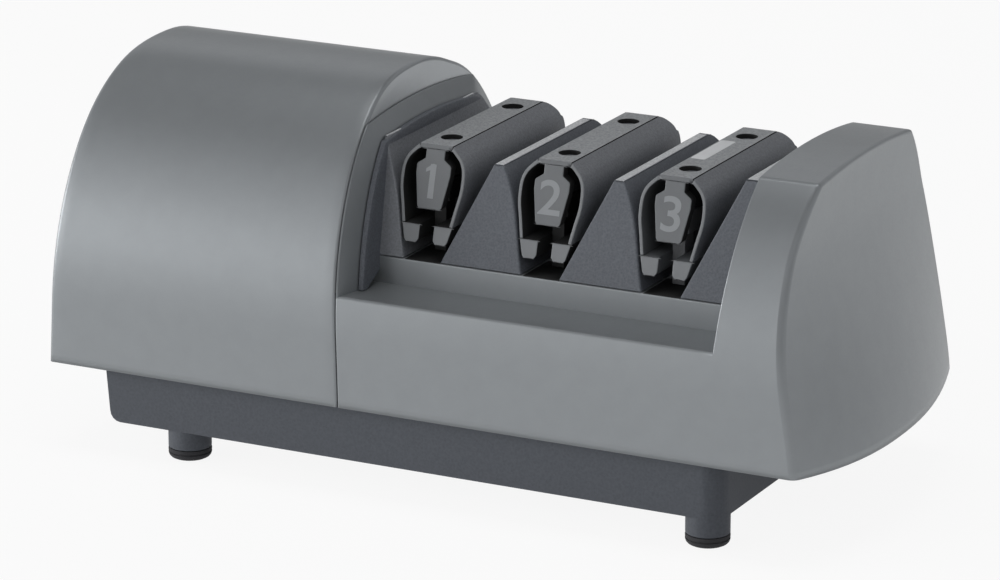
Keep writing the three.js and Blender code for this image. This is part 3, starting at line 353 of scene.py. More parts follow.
@dataclass(frozen=True)
class Form:
    """Outline of both housings, as functions of the height above their lower edge."""

    half: float = 59.0
    shoulder: float = 20.0
    crown: float = 93.4
    cap_height: float = 80.0
    top_crown: float = 2.4
    top_crown_from: float = 60.0
    length: float = 258.0
    gap: float = 0.3
    seam: float = 99.9
    seam_drift: float = 1.67
    seam_curl: float = 2.47
    left_draft: float = 5.1
    left_round: float = 3.4
    left_round_from: float = 60.0
    left_round_power: float = 4.0
    ledge: float = 33.9
    deck: float = 42.2
    deck_half: float = 39.0
    cap: float = 220.24
    cap_slope: float = 3.16
    end_bow: float = 11.5
    bow_power: float = 2.24
    bow_shift: float = 8.0
    end_lean: float = 7.2
    end_lean_height: float = 60.0
    lean_power: float = 1.3
    end_flare: float = 3.1
    flare_power: float = 1.5
    flange: float = 3.0
    frame_corner: float = 7.0
    frame_heart: float = 58.0

    @property
    def rise(self) -> float:
        """Height of the half ellipse over the straight sides."""
        return self.crown - self.shoulder

    @property
    def notch(self) -> float:
        """The share of the width where the deck's edge lies."""
        return self.deck_half / float(self.width_at(self.deck))

    def width_at(self, z: Array) -> Array:
        """Half the width: the ellipse's y at a height."""
        share = np.clip((z - self.shoulder) / self.rise, 0.0, 1.0)
        return self.half * np.sqrt(np.maximum(0.0, 1.0 - share**2))

    def seam_at(self, z: Array) -> Array:
        """The seam's x: it leans to the left, more so near the crown."""
        share = z / self.crown
        return self.seam - self.seam_drift * share - self.seam_curl * share**2

    def left_at(self, z: Array) -> Array:
        """The left end's x: a straight draft with a rounding over its top."""
        rounding = np.maximum(0.0, z - self.left_round_from) / (self.crown - self.left_round_from)
        return self.left_draft * z / self.crown + self.left_round * rounding**self.left_round_power

    def cap_at(self, z: Array) -> Array:
        """The end cap's inner face: a straight lean from the ledge up."""
        drift = self.cap_slope * (z - self.ledge)
        return self.cap + drift / (self.cap_height - self.ledge)

    def end_at(self, y: Array, z: Array) -> Array:
        """The end face's x: a bow that fades upwards, on a line that leans in and comes out again."""
        y, z = np.broadcast_arrays(y, np.maximum(0.0, z))
        quarter = (math.pi / 2) * np.minimum(z, self.end_lean_height) / self.end_lean_height
        lean = self.end_lean * np.sin(quarter) ** self.lean_power
        over = np.maximum(0.0, z - self.end_lean_height) / (self.cap_height - self.end_lean_height)
        flare = self.end_flare * over**self.flare_power
        across = np.abs(y + self.bow_shift * (1.0 - (y / self.half) ** 2)) / self.half
        bow = self.end_bow * np.maximum(0.0, 1.0 - z / self.cap_height) * (1.0 - across**self.bow_power)
        return self.length - self.end_bow - lean + flare + bow

    def flange_at(self, z: Array) -> Array:
        """The right face of the frame round the open stages."""
        return self.seam_at(z) + self.gap / 2 + self.flange

    def crowned(self, y_share: Array, z: Array) -> Array:
        """A level's height at a share of its width: it bends up to the crowned top as it gets near it."""
        over = np.clip((z - self.top_crown_from) / (self.cap_height - self.top_crown_from), 0.0, 1.0)
        return z + self.top_crown * over**2 * (1.0 - y_share**2)

    def loop(self, low: float, inset: float, top_inset: float, corner: float) -> Array:
        """The open outline of the frame: up the front, over the crowned top and down the rear.

        Args:
            low: Height of its two ends.
            inset: How far its sides are moved in.
            top_inset: How far its top is moved in.
            corner: Length that the rear corner's rounding takes on each side.

        Returns:
            Points in y and z.
        """
        top = self.cap_height - top_inset
        z = np.linspace(low, top, 24)
        side = np.stack([-(self.width_at(z) - inset), z], axis=-1)
        reach = -side[-1, 0]
        y = np.linspace(-reach, reach, 33)[1:-1]
        crown = np.stack([y, top + self.top_crown * (1.0 - (y / reach) ** 2)], axis=-1)
        line = np.vstack([side, crown, (side * [-1, 1])[::-1]])
        if corner <= 0:
            return line
        run = run_along(line)
        middle = run[-1] - run[len(side) - 1]
        t = np.clip((run - middle + corner) / (2 * corner), 0.0, 1.0)[:, None]
        ends = follow(line, np.array([middle - corner, middle, middle + corner]) / run[-1])
        bend = (1 - t) ** 2 * ends[0] + 2 * t * (1 - t) * ends[1] + t**2 * ends[2]
        return np.where((t > 0) & (t < 1), bend, line)

    def rings(self, low: float, steps: Iterable[tuple[float, float, float, float]]) -> Array:
        """Rings beside the seam that follow the frame's outline, with three more that run together inside.

        Args:
            low: Height of their two ends.
            steps: Each ring's reach to the right, how far its sides and its top are moved in, and its corner.

        Returns:
            A grid with one row for each ring.
        """
        lines = []
        for reach, inset, top_inset, corner in steps:
            y, z = self.loop(low, inset, top_inset, corner).T
            lines.append(stack(self.seam_at(z) + self.gap / 2 + reach, y, z))
        heart = lines[-1] * 0.1 + [0.0, 0.0, 0.9 * self.frame_heart]
        heart[:, 0] = self.seam_at(heart[:, 2]) + self.gap / 2 + reach
        return np.concatenate([np.stack(lines), between(lines[-1], heart, np.array([0.4, 0.75, 1.0]))])


FORM = Form()


@dataclass
class MotorHousing:
    """The dome over the motor: one skin carried round its section, with a wall at each end."""

    form: Form = FORM
    wall: float = 2.5
    left_radius: float = 1.4
    seam_radius: float = 1.1
    hem: float = 2.4
    hole_low: float = 4.75
    hole_high: float = 23.25
    inlet_left: float = 10.75
    inlet_right: float = 29.25
    inlet_radius: float = 5.2
    switch_left: float = 71.0
    switch_right: float = 95.0
    first_column: float = 5.5
    skin_start: float = 0.9
    skin_stop: float = 99.5
    left_points: int = 6
    edge_points: int = 6
    hole_points: int = 9
    switch_points: int = 6
    seam_points: int = 5
    wall_start: float = 0.06
    wall_stop: float = 0.7
    upright: float = 36.0
    settle: float = 1.8
    settle_front: float = 24.0
    settle_rear: float = 50.0
    full: float = 1.4
    full_at: float = 36.0
    full_span: float = 16.0
    heart_top: float = 56.7

    @staticmethod
    def hump(distance: Array, span: float | Array) -> Array:
        """One in the middle, running out evenly a span away."""
        return np.maximum(0.0, 1.0 - (distance / span) ** 2) ** 2

    def section(self, inset: Array) -> tuple[Array, Array]:
        """The section's line from the front's lower edge over the crown to the rear's.

        Args:
            inset: Millimetres that the line is moved in, one for each column.

        Returns:
            Its y and z, rows along the line and a column for each inset.
        """
        form = self.form
        hole = np.linspace(self.hole_low, self.hole_high, self.hole_points)
        lows = np.concatenate([[0.0, self.hem], hole])[:, None]
        start = math.asin((self.hole_high - form.shoulder) / form.rise)
        angles = np.linspace(start, math.pi - start, 78)[1:-1, None]
        y_arch = -form.half * np.cos(angles)
        z_arch = form.shoulder + form.rise * np.sin(angles)
        dy, dz = y_arch / form.half**2, (z_arch - form.shoulder) / form.rise**2
        out = (self.full * self.hump(y_arch - self.full_at, self.full_span) - inset) / np.hypot(dy, dz)
        span = np.where(y_arch < 0, self.settle_front, self.settle_rear)
        z_arch = z_arch + dz * out - self.settle * self.hump(y_arch, span)
        y_arch = y_arch + dy * out
        share = np.clip((lows - form.shoulder) / (form.rise - inset), 0.0, 1.0)
        y_low = (form.half - inset) * np.sqrt(1.0 - share**2)
        z_low = lows + 0.0 * inset
        return np.vstack([-y_low, y_arch, y_low[::-1]]), np.vstack([z_low, z_arch, z_low[::-1]])

    def across(self) -> tuple[Array, Array, Array]:
        """Each column's inset, share of the length and shift along it.

        Returns:
            The three arrays, for the left wall, its rounded edge, the skin, the rounded edge at the seam and
            the wall there.
        """
        turn = np.linspace(0.0, math.pi / 2, self.edge_points)
        inlet = np.linspace(self.inlet_left, self.inlet_right, self.hole_points)
        plain = np.linspace(self.inlet_right, self.switch_left, 10)[1:]
        switch = np.linspace(self.switch_left, self.switch_right, self.switch_points)[1:]
        skin = np.concatenate([[self.first_column], inlet, plain, switch])
        left, right = self.left_radius, self.seam_radius
        none, left_wall, right_wall = (np.zeros(n) for n in (len(skin), self.left_points, self.seam_points))
        inset = [left_wall + left, left * (1 - np.sin(turn)), none]
        inset += [right * (1 - np.cos(turn)), right_wall + right]
        shift = [left_wall, left * (1 - np.cos(turn)), none, -right * (1 - np.sin(turn)), right_wall]
        shares = (skin - self.skin_start) / (self.skin_stop - self.skin_start)
        along = [left_wall, 0 * turn, shares, 1 + 0 * turn, 1 + right_wall]
        return np.concatenate(inset), np.concatenate(along), np.concatenate(shift)

    def skin(self) -> Skin:
        """The whole skin with its switch opening and its inlet."""
        inset, share, shift = self.across()
        y, z = self.section(inset)
        left, right = self.form.left_at(z), self.form.seam_at(z) - self.form.gap / 2
        even = left + (right - left) * share
        fixed = share * (self.skin_stop - self.skin_start) + self.skin_start
        inner = (share > 0) & (share < 1)
        blend = smooth_step((z - self.hole_high) / self.upright)
        x = np.where(inner, fixed * (1 - blend) + even * blend, even) + shift
        left_fill = np.linspace(1.0, self.wall_start, self.left_points)
        seam_fill = np.linspace(self.wall_start, self.wall_stop, self.seam_points)
        fill = np.concatenate([left_fill, 0 * share[self.left_points : -self.seam_points], seam_fill])
        row = np.arange(len(z))[:, None]
        heart = self.heart_top * np.minimum(row, row[::-1]) / ((len(z) - 1) // 2)
        y, z = y * (1 - fill), z * (1 - fill) + heart * fill
        ends = np.where(share > 0.5, self.form.seam_at(z) - self.form.gap / 2, self.form.left_at(z))
        points = stack(np.where(fill > 0, ends, x), y, z)
        keep = np.ones((points.shape[0] - 1, points.shape[1] - 1), bool)
        hole, top = self.hole_points - 1, len(points) - self.hole_points - 2
        from_left = np.where(inner, fixed, self.form.length)
        inlet, switch = (int(np.argmin(np.abs(from_left - x))) for x in (self.inlet_left, self.switch_left))
        keep[top : top + hole, inlet : inlet + hole] = False
        keep[top : top + hole, switch : switch + self.switch_points - 1] = False
        back = keep.shape[1] - np.arange(keep.shape[1])
        wall = np.broadcast_to(back <= self.seam_points, keep.shape)
        # The seam's rounding below the ledge gets the black painted shade: a painted shadow for the gap
        # between the housings.
        under = z[:-1, self.left_points + self.edge_points] < self.form.ledge
        seam = np.outer(under, back <= self.seam_points + 2)
        made = Skin()
        made.grid(points, Face.SIDE, keep & ~wall & ~seam)
        made.grid(points, Face.END, keep & wall & ~seam)
        made.grid(points, Face.BORE, keep & seam)
        self.round_inlet(made, points[top : top + hole + 1, inlet : inlet + hole + 1])
        return made

    def round_inlet(self, made: Skin, block: Array) -> None:
        """Turns the edge of a square block of points into the inlet's circle, in rings."""
        x, z = (self.inlet_left + self.inlet_right) / 2, (self.hole_low + self.hole_high) / 2
        rim = closed(np.vstack([block[0, :-1], block[:-1, -1], block[-1, :0:-1], block[:0:-1, 0]]))
        angle = np.arctan2(rim[:, 2] - z, rim[:, 0] - x)
        radius = self.inlet_radius
        circle = stack(x + radius * np.cos(angle), self.form.half, z + radius * np.sin(angle))
        made.grid(between(rim, circle, np.linspace(0.0, 1.0, 4)))

    def build(self) -> list[Object]:
        """Builds the dome."""
        # The dome's end wall over the frame is painted paler as painted light, and its seam below the ledge
        # black as painted shade.
        coats = {Face.END: 1, Face.BORE: 2}
        piece = finish_piece(self.skin().mesh("motor_dome"), wall=self.wall, even=False, coats=coats)
        return [dress(piece, BODY, COAT, "housing", "motor_housing", others=(LIT_COAT, LINING))]


@dataclass
class GuideHousing:
    """The second housing: front panel, ledges, deck with its slots and the bowed end cap, in one skin."""

    form: Form = FORM
    wall: float = 2.5
    slot_half: float = 5.9
    slot_span: float = 21.7
    deck_shares: tuple[float, ...] = (0.33, 0.66)
    ledge_shares: tuple[float, ...] = (0.0, 0.07, 0.14)
    last_share: float = 0.91
    lower_rows: tuple[float, ...] = (0.0, 2.5, 6.0, 10.0, 14.0, 18.0, 22.0, 26.0, 30.0)
    step_middle: float = 37.5
    last_row: float = 76.6
    guide_columns: tuple[float, ...] = (132.8, 141.8, 171.6, 180.6, 207.6, 214.0)
    frame_overlap: float = 0.6
    bevel_start: float = 0.6
    bevel_stop: float = 2.8
    bevel_inset: float = 7.15
    bevel_top_inset: float = 4.6
    radii: Radii = field(
        default_factory=lambda: {
            (Face.SIDE, Face.END): 1.8,
            (Face.REAR, Face.END): 1.0,
            (Face.TOP, Face.END): 1.2,
            (Face.SIDE, Face.TOP): 0.9,
            (Face.REAR, Face.TOP): 0.9,
            (Face.REAR, Face.LEDGE): 0.8,
            (Face.INNER, Face.REAR): 0.8,
            (Face.INNER, Face.SIDE): 0.35,
            (Face.INNER, Face.TOP): 0.4,
            (Face.SIDE, Face.LEDGE): 0.8,
            (Face.STEP, Face.DECK): 0.5,
            (Face.STEP, Face.BORE): 0.5,
        }
    )

    def shares(self) -> Array:
        """Shares of the width where columns run, with one at the deck's edge and one at its slots' ends."""
        notch = self.form.notch
        slot = notch * self.slot_span / self.form.deck_half
        deck, ledge = np.array(self.deck_shares), np.array(self.ledge_shares)
        outer = np.concatenate([slot + (notch - slot) * deck, notch + ledge, [self.last_share, 1.0]])
        return np.concatenate([-outer[::-1], np.linspace(-slot, slot, 11), outer])

    def across(self, share: Array, z: Array) -> Array:
        """The y of a share of the width: the deck's edge stays where it is below the deck."""
        notch, deck_half = self.form.notch, self.form.deck_half
        width, far = self.form.width_at(z), np.abs(share)
        outside = deck_half + (width - deck_half) * (far - notch) / (1 - notch)
        lower = np.where(far <= notch, far / notch * deck_half, outside)
        return np.sign(share) * np.where(z <= self.form.deck + HAIR, lower, far * width)

    def along(self, z: Array) -> Array:
        """The x of the columns between the seam and the end cap, at each height."""
        slots = np.concatenate([[x - self.slot_half, x, x + self.slot_half] for x in STAGES])
        fixed = np.sort(np.concatenate([slots, self.guide_columns]))
        z = z[:, None]
        start = self.form.seam_at(z) + self.form.gap / 2
        head = start + (fixed[0] - start) * np.array([0.0, 0.03, 0.5])
        return np.hstack([head, np.broadcast_to(fixed, (len(z), len(fixed))), self.form.cap_at(z)])

    def over_cap(self, y: Array, z: Array, inner: Array) -> Array:
        """The x of the columns over the end cap, from its inner face at some heights to its end face."""
        start, stop = self.form.cap_at(inner)[..., None], self.form.end_at(y, z)[..., None]
        return start + (stop - start) * np.linspace(0.0, 1.0, 7)

    def skin(self) -> Skin:
        """Every face of the housing."""
        form, made, shares = self.form, Skin(), self.shares()
        notch = form.notch
        low = np.array([*self.lower_rows, form.ledge])
        step = np.array([form.ledge, self.step_middle, form.deck])
        high = np.concatenate([step[:-1], np.linspace(form.deck, self.last_row, 13), [form.cap_height]])
        outer = shares[shares >= notch - HAIR]
        x_step, x_ledge = self.along(step), self.along(np.full(len(outer), form.ledge))
        for side, face in ((-1.0, Face.SIDE), (1.0, Face.REAR)):
            y_low, y_high = side * form.width_at(low), side * form.width_at(high)
            cap_low = self.over_cap(y_low, low, np.full(len(low), form.ledge))
            row = np.hstack([self.along(low)[:, :-1], cap_low])
            made.grid(stack(row, y_low[:, None], low[:, None]), face)
            made.grid(stack(self.over_cap(y_high, high, high), y_high[:, None], high[:, None]), face)
            y_ledge = side * self.across(outer, np.full(len(outer), form.ledge))
            made.grid(stack(x_ledge, y_ledge[:, None], form.ledge), Face.LEDGE)
            made.grid(stack(x_step, side * form.deck_half, step[:, None]), Face.STEP)
        inner = shares[np.abs(shares) <= notch + HAIR]
        y_deck = self.across(inner, np.full(len(inner), form.deck))
        x_deck = self.along(np.full(len(inner), form.deck))
        middles = (x_deck[0, 1:] + x_deck[0, :-1]) / 2
        slots = np.any([np.abs(middles - x) < self.slot_half for x in STAGES], axis=0)
        inside = np.abs((y_deck[1:] + y_deck[:-1]) / 2) < self.slot_span
        deck = stack(x_deck, y_deck[:, None], form.deck)
        made.grid(deck, Face.DECK, np.broadcast_to(~slots, (len(inside), len(slots))))
        # The deck in the slots' columns outside the slots is painted black: painted shade.
        made.grid(deck, Face.BORE, np.outer(~inside, slots))
        self.add_inner_face(made, high, shares)
        level = np.full(len(shares), form.cap_height)
        top, y_top = form.crowned(shares, level), self.across(shares, level)
        made.grid(stack(self.over_cap(y_top, top, top), y_top[:, None], top[:, None]), Face.TOP)
        rows = np.concatenate([low, high[1:]])[:, None]
        y_end, z_end = self.across(shares[None], rows), form.crowned(shares[None], rows)
        made.grid(stack(form.end_at(y_end, z_end), y_end, z_end), Face.END)
        return made

    def add_inner_face(self, made: Skin, high: Array, shares: Array) -> None:
        """Adds the end cap's inner face, open where the deck meets it.

        Args:
            made: The skin that it goes into.
            high: Heights of the rows.
            shares: Shares of the width where columns run.
        """
        rows = high[:, None]
        y, z = self.across(shares[None], rows), self.form.crowned(shares[None], rows)
        under = high[1:] <= self.form.deck + HAIR
        inside = np.abs((shares[1:] + shares[:-1]) / 2) < self.form.notch
        made.grid(stack(self.form.cap_at(z), y, z), Face.INNER, ~np.outer(under, inside))

    def frame(self) -> Skin:
        """The bevelled frame at the seam, in rings from its back edge to inside the left guide's plate."""
        deep, top, flange = self.bevel_inset, self.bevel_top_inset, self.form.flange
        steps = [(0.0, 0.0, 0.0), (self.bevel_start - 0.25, 0.0, 0.0), (self.bevel_start, 0.25, 0.25)]
        steps += [(self.bevel_stop, deep, top), (flange, deep + 0.35, top + 0.3)]
        steps += [(flange, deep + 1.85, top + 1.8)]
        corners = [self.form.frame_corner * min(1.0, inset / deep) for _, inset, _ in steps]
        made = Skin()
        low = self.form.ledge - self.frame_overlap
        made.grid(self.form.rings(low, [(*step, corner) for step, corner in zip(steps, corners)]), Face.FRONT)
        return made

    def build(self) -> list[Object]:
        """Builds the housing and its frame."""
        skin = self.skin().mesh("panel_and_end_cap")
        # The deck strips beside the slots take the black painted shade, and the frame's bevel the darker
        # painted shade.
        shell = finish_piece(skin, self.radii, self.wall, steps=4, coats={Face.BORE: 1})
        border = finish_piece(self.frame().mesh("seam_frame"), even=False)
        return [
            dress(shell, BODY, COAT, "housing", "guide_housing", others=(LINING,)),
            dress(border, BODY, SHADED_COAT, "housing", "guide_housing"),
        ]


@dataclass(frozen=True)
class GuideLine:
    """Lines of the knife guides: the slots' walls, and the faces that lean together at front and rear."""

    floor: float = 42.5
    deck: float = 42.2
    ridge: float = 72.3
    last_ridge: float = 77.4
    left_foot: float = 6.4
    left_top: float = 16.2
    bulge: float = 1.25
    right_foot: float = 5.7
    right_top: float = 19.5
    face: float = 38.94
    front_lean: float = 0.28
    rear_lean: float = 0.16

    def up(self, z: Array) -> Array:
        """Share of the way from the deck to the ridge."""
        return (z - self.deck) / (self.ridge - self.deck)

    def before(self, stage: int) -> Wall:
        """The wall on the left of a stage: a straight lean less a bulge that peaks two thirds up."""
        run = self.left_top - self.left_foot
        bulge = lambda t: self.bulge * (t**2 * (1 - t)) * 27 / 4
        return lambda z: STAGES[stage] - (self.left_foot + run * self.up(z) - bulge(self.up(z)))

    def after(self, stage: int) -> Wall:
        """The wall on the right of a stage: a straight lean."""
        return lambda z: STAGES[stage] + (self.right_foot + (self.right_top - self.right_foot) * self.up(z))

    def front(self, z: Array) -> Array:
        """The front faces' y."""
        return -(self.face - self.front_lean * (z - self.floor))

    def rear(self, z: Array, top: float = 1e9, corner: float = 0.0) -> Array:
        """The rear faces' y, rounded by a quarter circle below a top."""
        straight = self.face - self.rear_lean * (z - self.floor)
        if corner <= 0:
            return straight
        over = np.clip(z - (top - corner), 0.0, corner)
        arc = (self.face - self.rear_lean * (top - self.floor)) - corner + np.sqrt(corner**2 - over**2)
        return np.where(over > 0, np.minimum(straight, arc), straight)


LINE = GuideLine()


@dataclass
class KnifeGuides:
    """The four dark wedges beside the stages; the first has a plate that fills the frame."""

    form: Form = FORM
    line: GuideLine = LINE
    corner: float = 7.0
    plate: float = 1.5
    plate_sink: float = 0.3
    edge_radius: float = 0.45
    blend: float = 0.9
    left_top: float = 76.2
    plate_inset: float = 7.8
    plate_top_inset: float = 5.2
    steps: tuple[tuple[float, float], ...] = ((0.3, 0.0), (1.45, 0.0), (1.7, 0.1), (1.8, 0.4), (1.8, 3.0))

    def wedge(self, left: Wall, right: Wall, top: float) -> Skin:
        """A wedge between two walls: levels from the deck to the ridge, closed all round.

        Args:
            left: The left wall's x at a height.
            right: The right wall's x at a height.
            top: The ridge's height.

        Returns:
            Its skin.
        """
        line, made = self.line, Skin()
        arc = self.corner * np.sin(np.linspace(0.0, math.pi / 2, 8))
        z = np.concatenate([np.linspace(line.floor, top - self.corner, 14)[:-1], top - self.corner + arc])
        z = np.unique(np.round(z, 4))[:, None]
        rear, front = line.rear(z, top, self.corner), line.front(z)
        v = np.concatenate([[0.0, 0.025], np.linspace(0.06, 0.94, 18), [0.975, 1.0]])
        y = front + (rear - front) * v
        x = left(z) + (right(z) - left(z)) * np.array([0.0, 0.5, 1.0])
        made.grid(stack(left(z), y, z), Face.LEFT)
        made.grid(stack(right(z), y, z), Face.RIGHT)
        made.grid(stack(x, front, z), Face.FRONT)
        made.grid(stack(x, rear, z), Face.REAR)
        made.grid(stack(x[-1][:, None], y[-1][None], z[-1]), Face.TOP)
        made.grid(stack(x[0][:, None], y[0][None], z[0]), Face.FLOOR)
        return made

    def radii(self) -> Radii:
        """Radii of the wedge's edges."""
        pairs = [(a, b) for a in (Face.LEFT, Face.RIGHT) for b in (Face.FRONT, Face.REAR, Face.TOP)]
        pairs += [(Face.FRONT, Face.TOP), (Face.REAR, Face.TOP)]
        return {pair: self.edge_radius for pair in pairs}

    def inlay(self) -> Skin:
        """The plate inside the frame: the frame's inner loop less a gap, with a small edge rounding."""
        form, made = self.form, Skin()
        steps = [
            (form.flange + reach, self.plate_inset + inset, self.plate_top_inset + inset, form.frame_corner)
            for reach, inset in self.steps
        ]
        made.grid(form.rings(form.ledge + form.gap, steps), Face.FRONT)
        return made

    def build(self) -> list[Object]:
        """Builds the four guides; the first one's wall runs out evenly into its plate."""
        form, line = self.form, self.line
        start = lambda z: form.flange_at(z) + form.gap
        plate = lambda z: start(z) + self.plate - self.plate_sink
        run_out = lambda z: self.blend * np.log1p(np.exp((line.before(0)(z) - plate(z)) / self.blend))
        wedges = (
            ("left_guide_wedge", "left_knife_guide", start, lambda z: plate(z) + run_out(z), self.left_top),
            ("guide_wedge_1_2", "knife_guide_1_2", line.after(0), line.before(1), line.ridge),
            ("guide_wedge_2_3", "knife_guide_2_3", line.after(1), line.before(2), line.ridge),
            (
                "right_guide_wedge",
                "right_knife_guide",
                line.after(2),
                lambda z: form.cap_at(z) - form.gap,
                line.last_ridge,
            ),
        )
        pieces = []
        for name, node, left, right, top in wedges:
            piece = finish_piece(self.wedge(left, right, top).mesh(name), self.radii(), coats={Face.TOP: 1})
            # The first guide gets the arches' lighter grey: painted light.
            finish = ARCH if node == "left_knife_guide" else GUIDE
            pieces.append(dress(piece, BODY, finish, "guide_plastic", node, others=(RIDGE,)))
        flat = finish_piece(self.inlay().mesh("left_guide_plate"), even=False)
        pieces.append(dress(flat, BODY, GUIDE, "guide_plastic", "left_knife_guide"))
        return pieces


@dataclass
class Stage:
    """One sharpening stage's sprung arch, its cap with a number plaque, and the number."""

    number: int
    x: float
    line: GuideLine = LINE
    half: float = 10.5
    foot_line: float = 52.5
    top: float = 75.3
    wall: float = 1.1
    plate_half: float = 5.3
    plate_top: float = 75.5
    plate_thickness: float = 1.2
    clearance: float = 0.3
    corner: float = 5.0
    foot_bottom: float = 47.1
    foot_corners: tuple[float, float, float] = (2.3, 6.9, 8.35)
    foot_end: float = 15.5
    foot_set_back: float = 0.12
    web_half: float = 6.4
    web_low: float = 73.0
    web_high: float = 74.0
    screw_pitch: float = 20.0
    counterbore: float = 3.25
    counterbore_ring: float = 72.0
    counterbore_floor: float = 67.3
    head_radius: float = 2.5
    bore_radius: float = 1.7
    boss_radius: float = 4.45
    boss_bottom: float = 65.0
    plaque_half: float = 5.75
    plaque_top: float = 71.1
    plaque_bottom: float = 56.9
    plaque_thickness: float = 3.0
    neck_half: float = 3.2
    digit_size: float = 14.4
    digit_depth: float = 0.03
    digit_bold: float = 0.16
    digit_left: float = 0.1
    digit_lift: float = 0.02
    flag_front: float = 0.065
    flag_back: float = 0.01
    digit_middle: float = 65.0
    digit_widening: float = 1.1
    shares: tuple[tuple[float, float], ...] = (
        (0.79, 0.0),
        (0.895, 0.241),
        (0.985, 0.439),
        (1.0, 0.61),
        (0.975, 0.73),
        (0.9, 0.82),
        (0.79, 0.89),
    )
    flag: tuple[tuple[float, float], ...] = (
        (-0.3, 5.0),
        (0.5, 5.0),
        (0.5, 3.9),
        (-0.3, 3.4),
        (-2.3, 2.5),
        (-2.3, 3.5),
    )

    def band(self) -> Array:
        """The arch's outer line from its foot to the plate's edge, as a smooth curve."""
        shares = np.array(self.shares)
        height = self.top - self.foot_line
        points = np.stack([self.half * shares[:, 0], self.foot_line + height * shares[:, 1]], axis=-1)
        return curve_through(np.vstack([points, [[self.plate_half + self.clearance, self.top]]]), 4)

    def prism(
        self,
        made: Skin,
        ring: Array,
        front: float = 0.0,
        depths: tuple[float | None, float | None] = (None, None),
        split: int | None = None,
    ) -> None:
        """Adds a closed ring of x and z pushed from the front faces' lean to the rear's.

        Args:
            made: The skin that it goes into.
            ring: Points in x and z, closed by itself.
            front: Millimetres that the front end lies behind the leaning face.
            depths: The y of both ends instead, where the piece doesn't reach them; none keeps the lean.
            split: The ring's point from which its side looks inwards.
        """
        x, z = closed(ring).T
        start, stop = depths
        first = self.line.front(z) + front if start is None else np.full_like(z, start)
        last = self.line.rear(z, self.plate_top, self.corner) if stop is None else np.full_like(z, stop)
        near = np.array([0.0, 0.02, 0.06, 0.25, 0.5, 0.75, 0.94, 0.98, 1.0])
        sides = stack(x, first + (last - first) * near[:, None], z)
        split = len(ring) if split is None else split
        made.grid(sides[:, : split + 1], Face.SIDE)
        made.grid(sides[:, split:], Face.LINING)
        made.halves(sides[0, :-1], Face.FRONT)
        made.halves(sides[-1, :-1], Face.REAR)

    def arch(self) -> Object:
        """The two arms, the web between them and the four feet."""
        made, shift = Skin(), np.array([self.x, 0.0])
        outer = self.band()
        inner = offset_line(outer, self.wall)
        inner[:, 1] = np.minimum(inner[:, 1], self.plate_top - self.plate_thickness - self.clearance)
        near, low, far = self.foot_corners
        high, bottom = self.foot_line, self.foot_bottom
        corners = [[near, high], [near, bottom], [low, bottom], [far, high]]
        foot = round_corners(corners, [0.25, 1.6, 1.5, 0.25])
        for side in (-1.0, 1.0):
            turn = np.array([side, 1.0])
            self.prism(made, np.vstack([outer * turn, (inner * turn)[::-1]]) + shift, split=len(outer) - 1)
            for depths, back in (((None, -self.foot_end), self.foot_set_back), ((self.foot_end, None), 0.0)):
                self.prism(made, foot * turn + shift, back, depths, split=0)
        wide, under, over = self.web_half, self.web_low, self.web_high
        web = np.array([[-wide, under], [-wide, over], [wide, over], [wide, under]])
        self.prism(made, web + shift, self.plaque_thickness + self.clearance)
        ends = (Face.FRONT, Face.REAR)
        radii = {(side, end): 0.25 for side in (Face.SIDE, Face.LINING) for end in ends}
        # Front and rear ends get the painted highlight and the inner walls painted shade, a lighter grey one
        # for the last arch.
        coats = {Face.FRONT: 1, Face.REAR: 1, Face.LINING: 2}
        piece = finish_piece(made.mesh(f"arch_{self.number}"), radii, steps=2, coats=coats)
        inside_shade = GREY_PAINTED_SHADE if self.number == 3 else LINING
        return dress(piece, BODY, ARCH, "guide_plastic", f"guide_arch_{self.number}", others=(RIM, inside_shade))

    def plaque_ring(self) -> Array:
        """The plaque with its neck, as a closed outline of x and z whose two halves match."""
        height = self.plaque_top - self.plaque_bottom
        right = np.array(
            [
                [self.neck_half, self.plate_top - self.plate_thickness],
                [self.neck_half, self.plaque_top + 0.25],
                [self.plaque_half, self.plaque_top - 0.1 * height],
                [self.plaque_half, self.plaque_bottom + 0.71 * height],
                [0.69 * self.plaque_half, self.plaque_bottom],
            ]
        )
        radii = [0.2, 0.5, 1.0, 3.0, 1.3]
        return round_corners(np.vstack([right, (right * [-1.0, 1.0])[::-1]]), radii + radii[::-1])

    def cap(self) -> Object:
        """The top plate with two counterbored bosses, folded down at the front into the plaque."""
        made = Skin()
        ring = self.plaque_ring()
        x, z = ring[:, 0] + self.x, ring[:, 1]
        front = stack(x, self.line.front(z), z)
        behind = front + [0.0, self.plaque_thickness, 0.0]
        made.grid(between(closed(front), closed(behind), np.array([0.0, 0.3, 1.0])), Face.SIDE)
        made.halves(front, Face.FRONT)
        made.halves(behind, Face.REAR)
        self.add_plate(made)
        for y in (-self.screw_pitch, self.screw_pitch):
            self.add_boss(made, y)
        radii = {(Face.TOP, face): 0.25 for face in (Face.SIDE, Face.BORE)}
        radii[Face.SIDE, Face.FRONT] = 0.3
        # The bores and the caps' sides get the black painted shade.
        coats = {Face.TOP: 1, Face.BORE: 2, Face.SIDE: 2}
        piece = finish_piece(made.mesh(f"cap_{self.number}"), radii, steps=2, coats=coats)
        return dress(piece, BODY, CAP, "cap_plastic", f"guide_cap_{self.number}", others=(CAP_TOP, LINING))

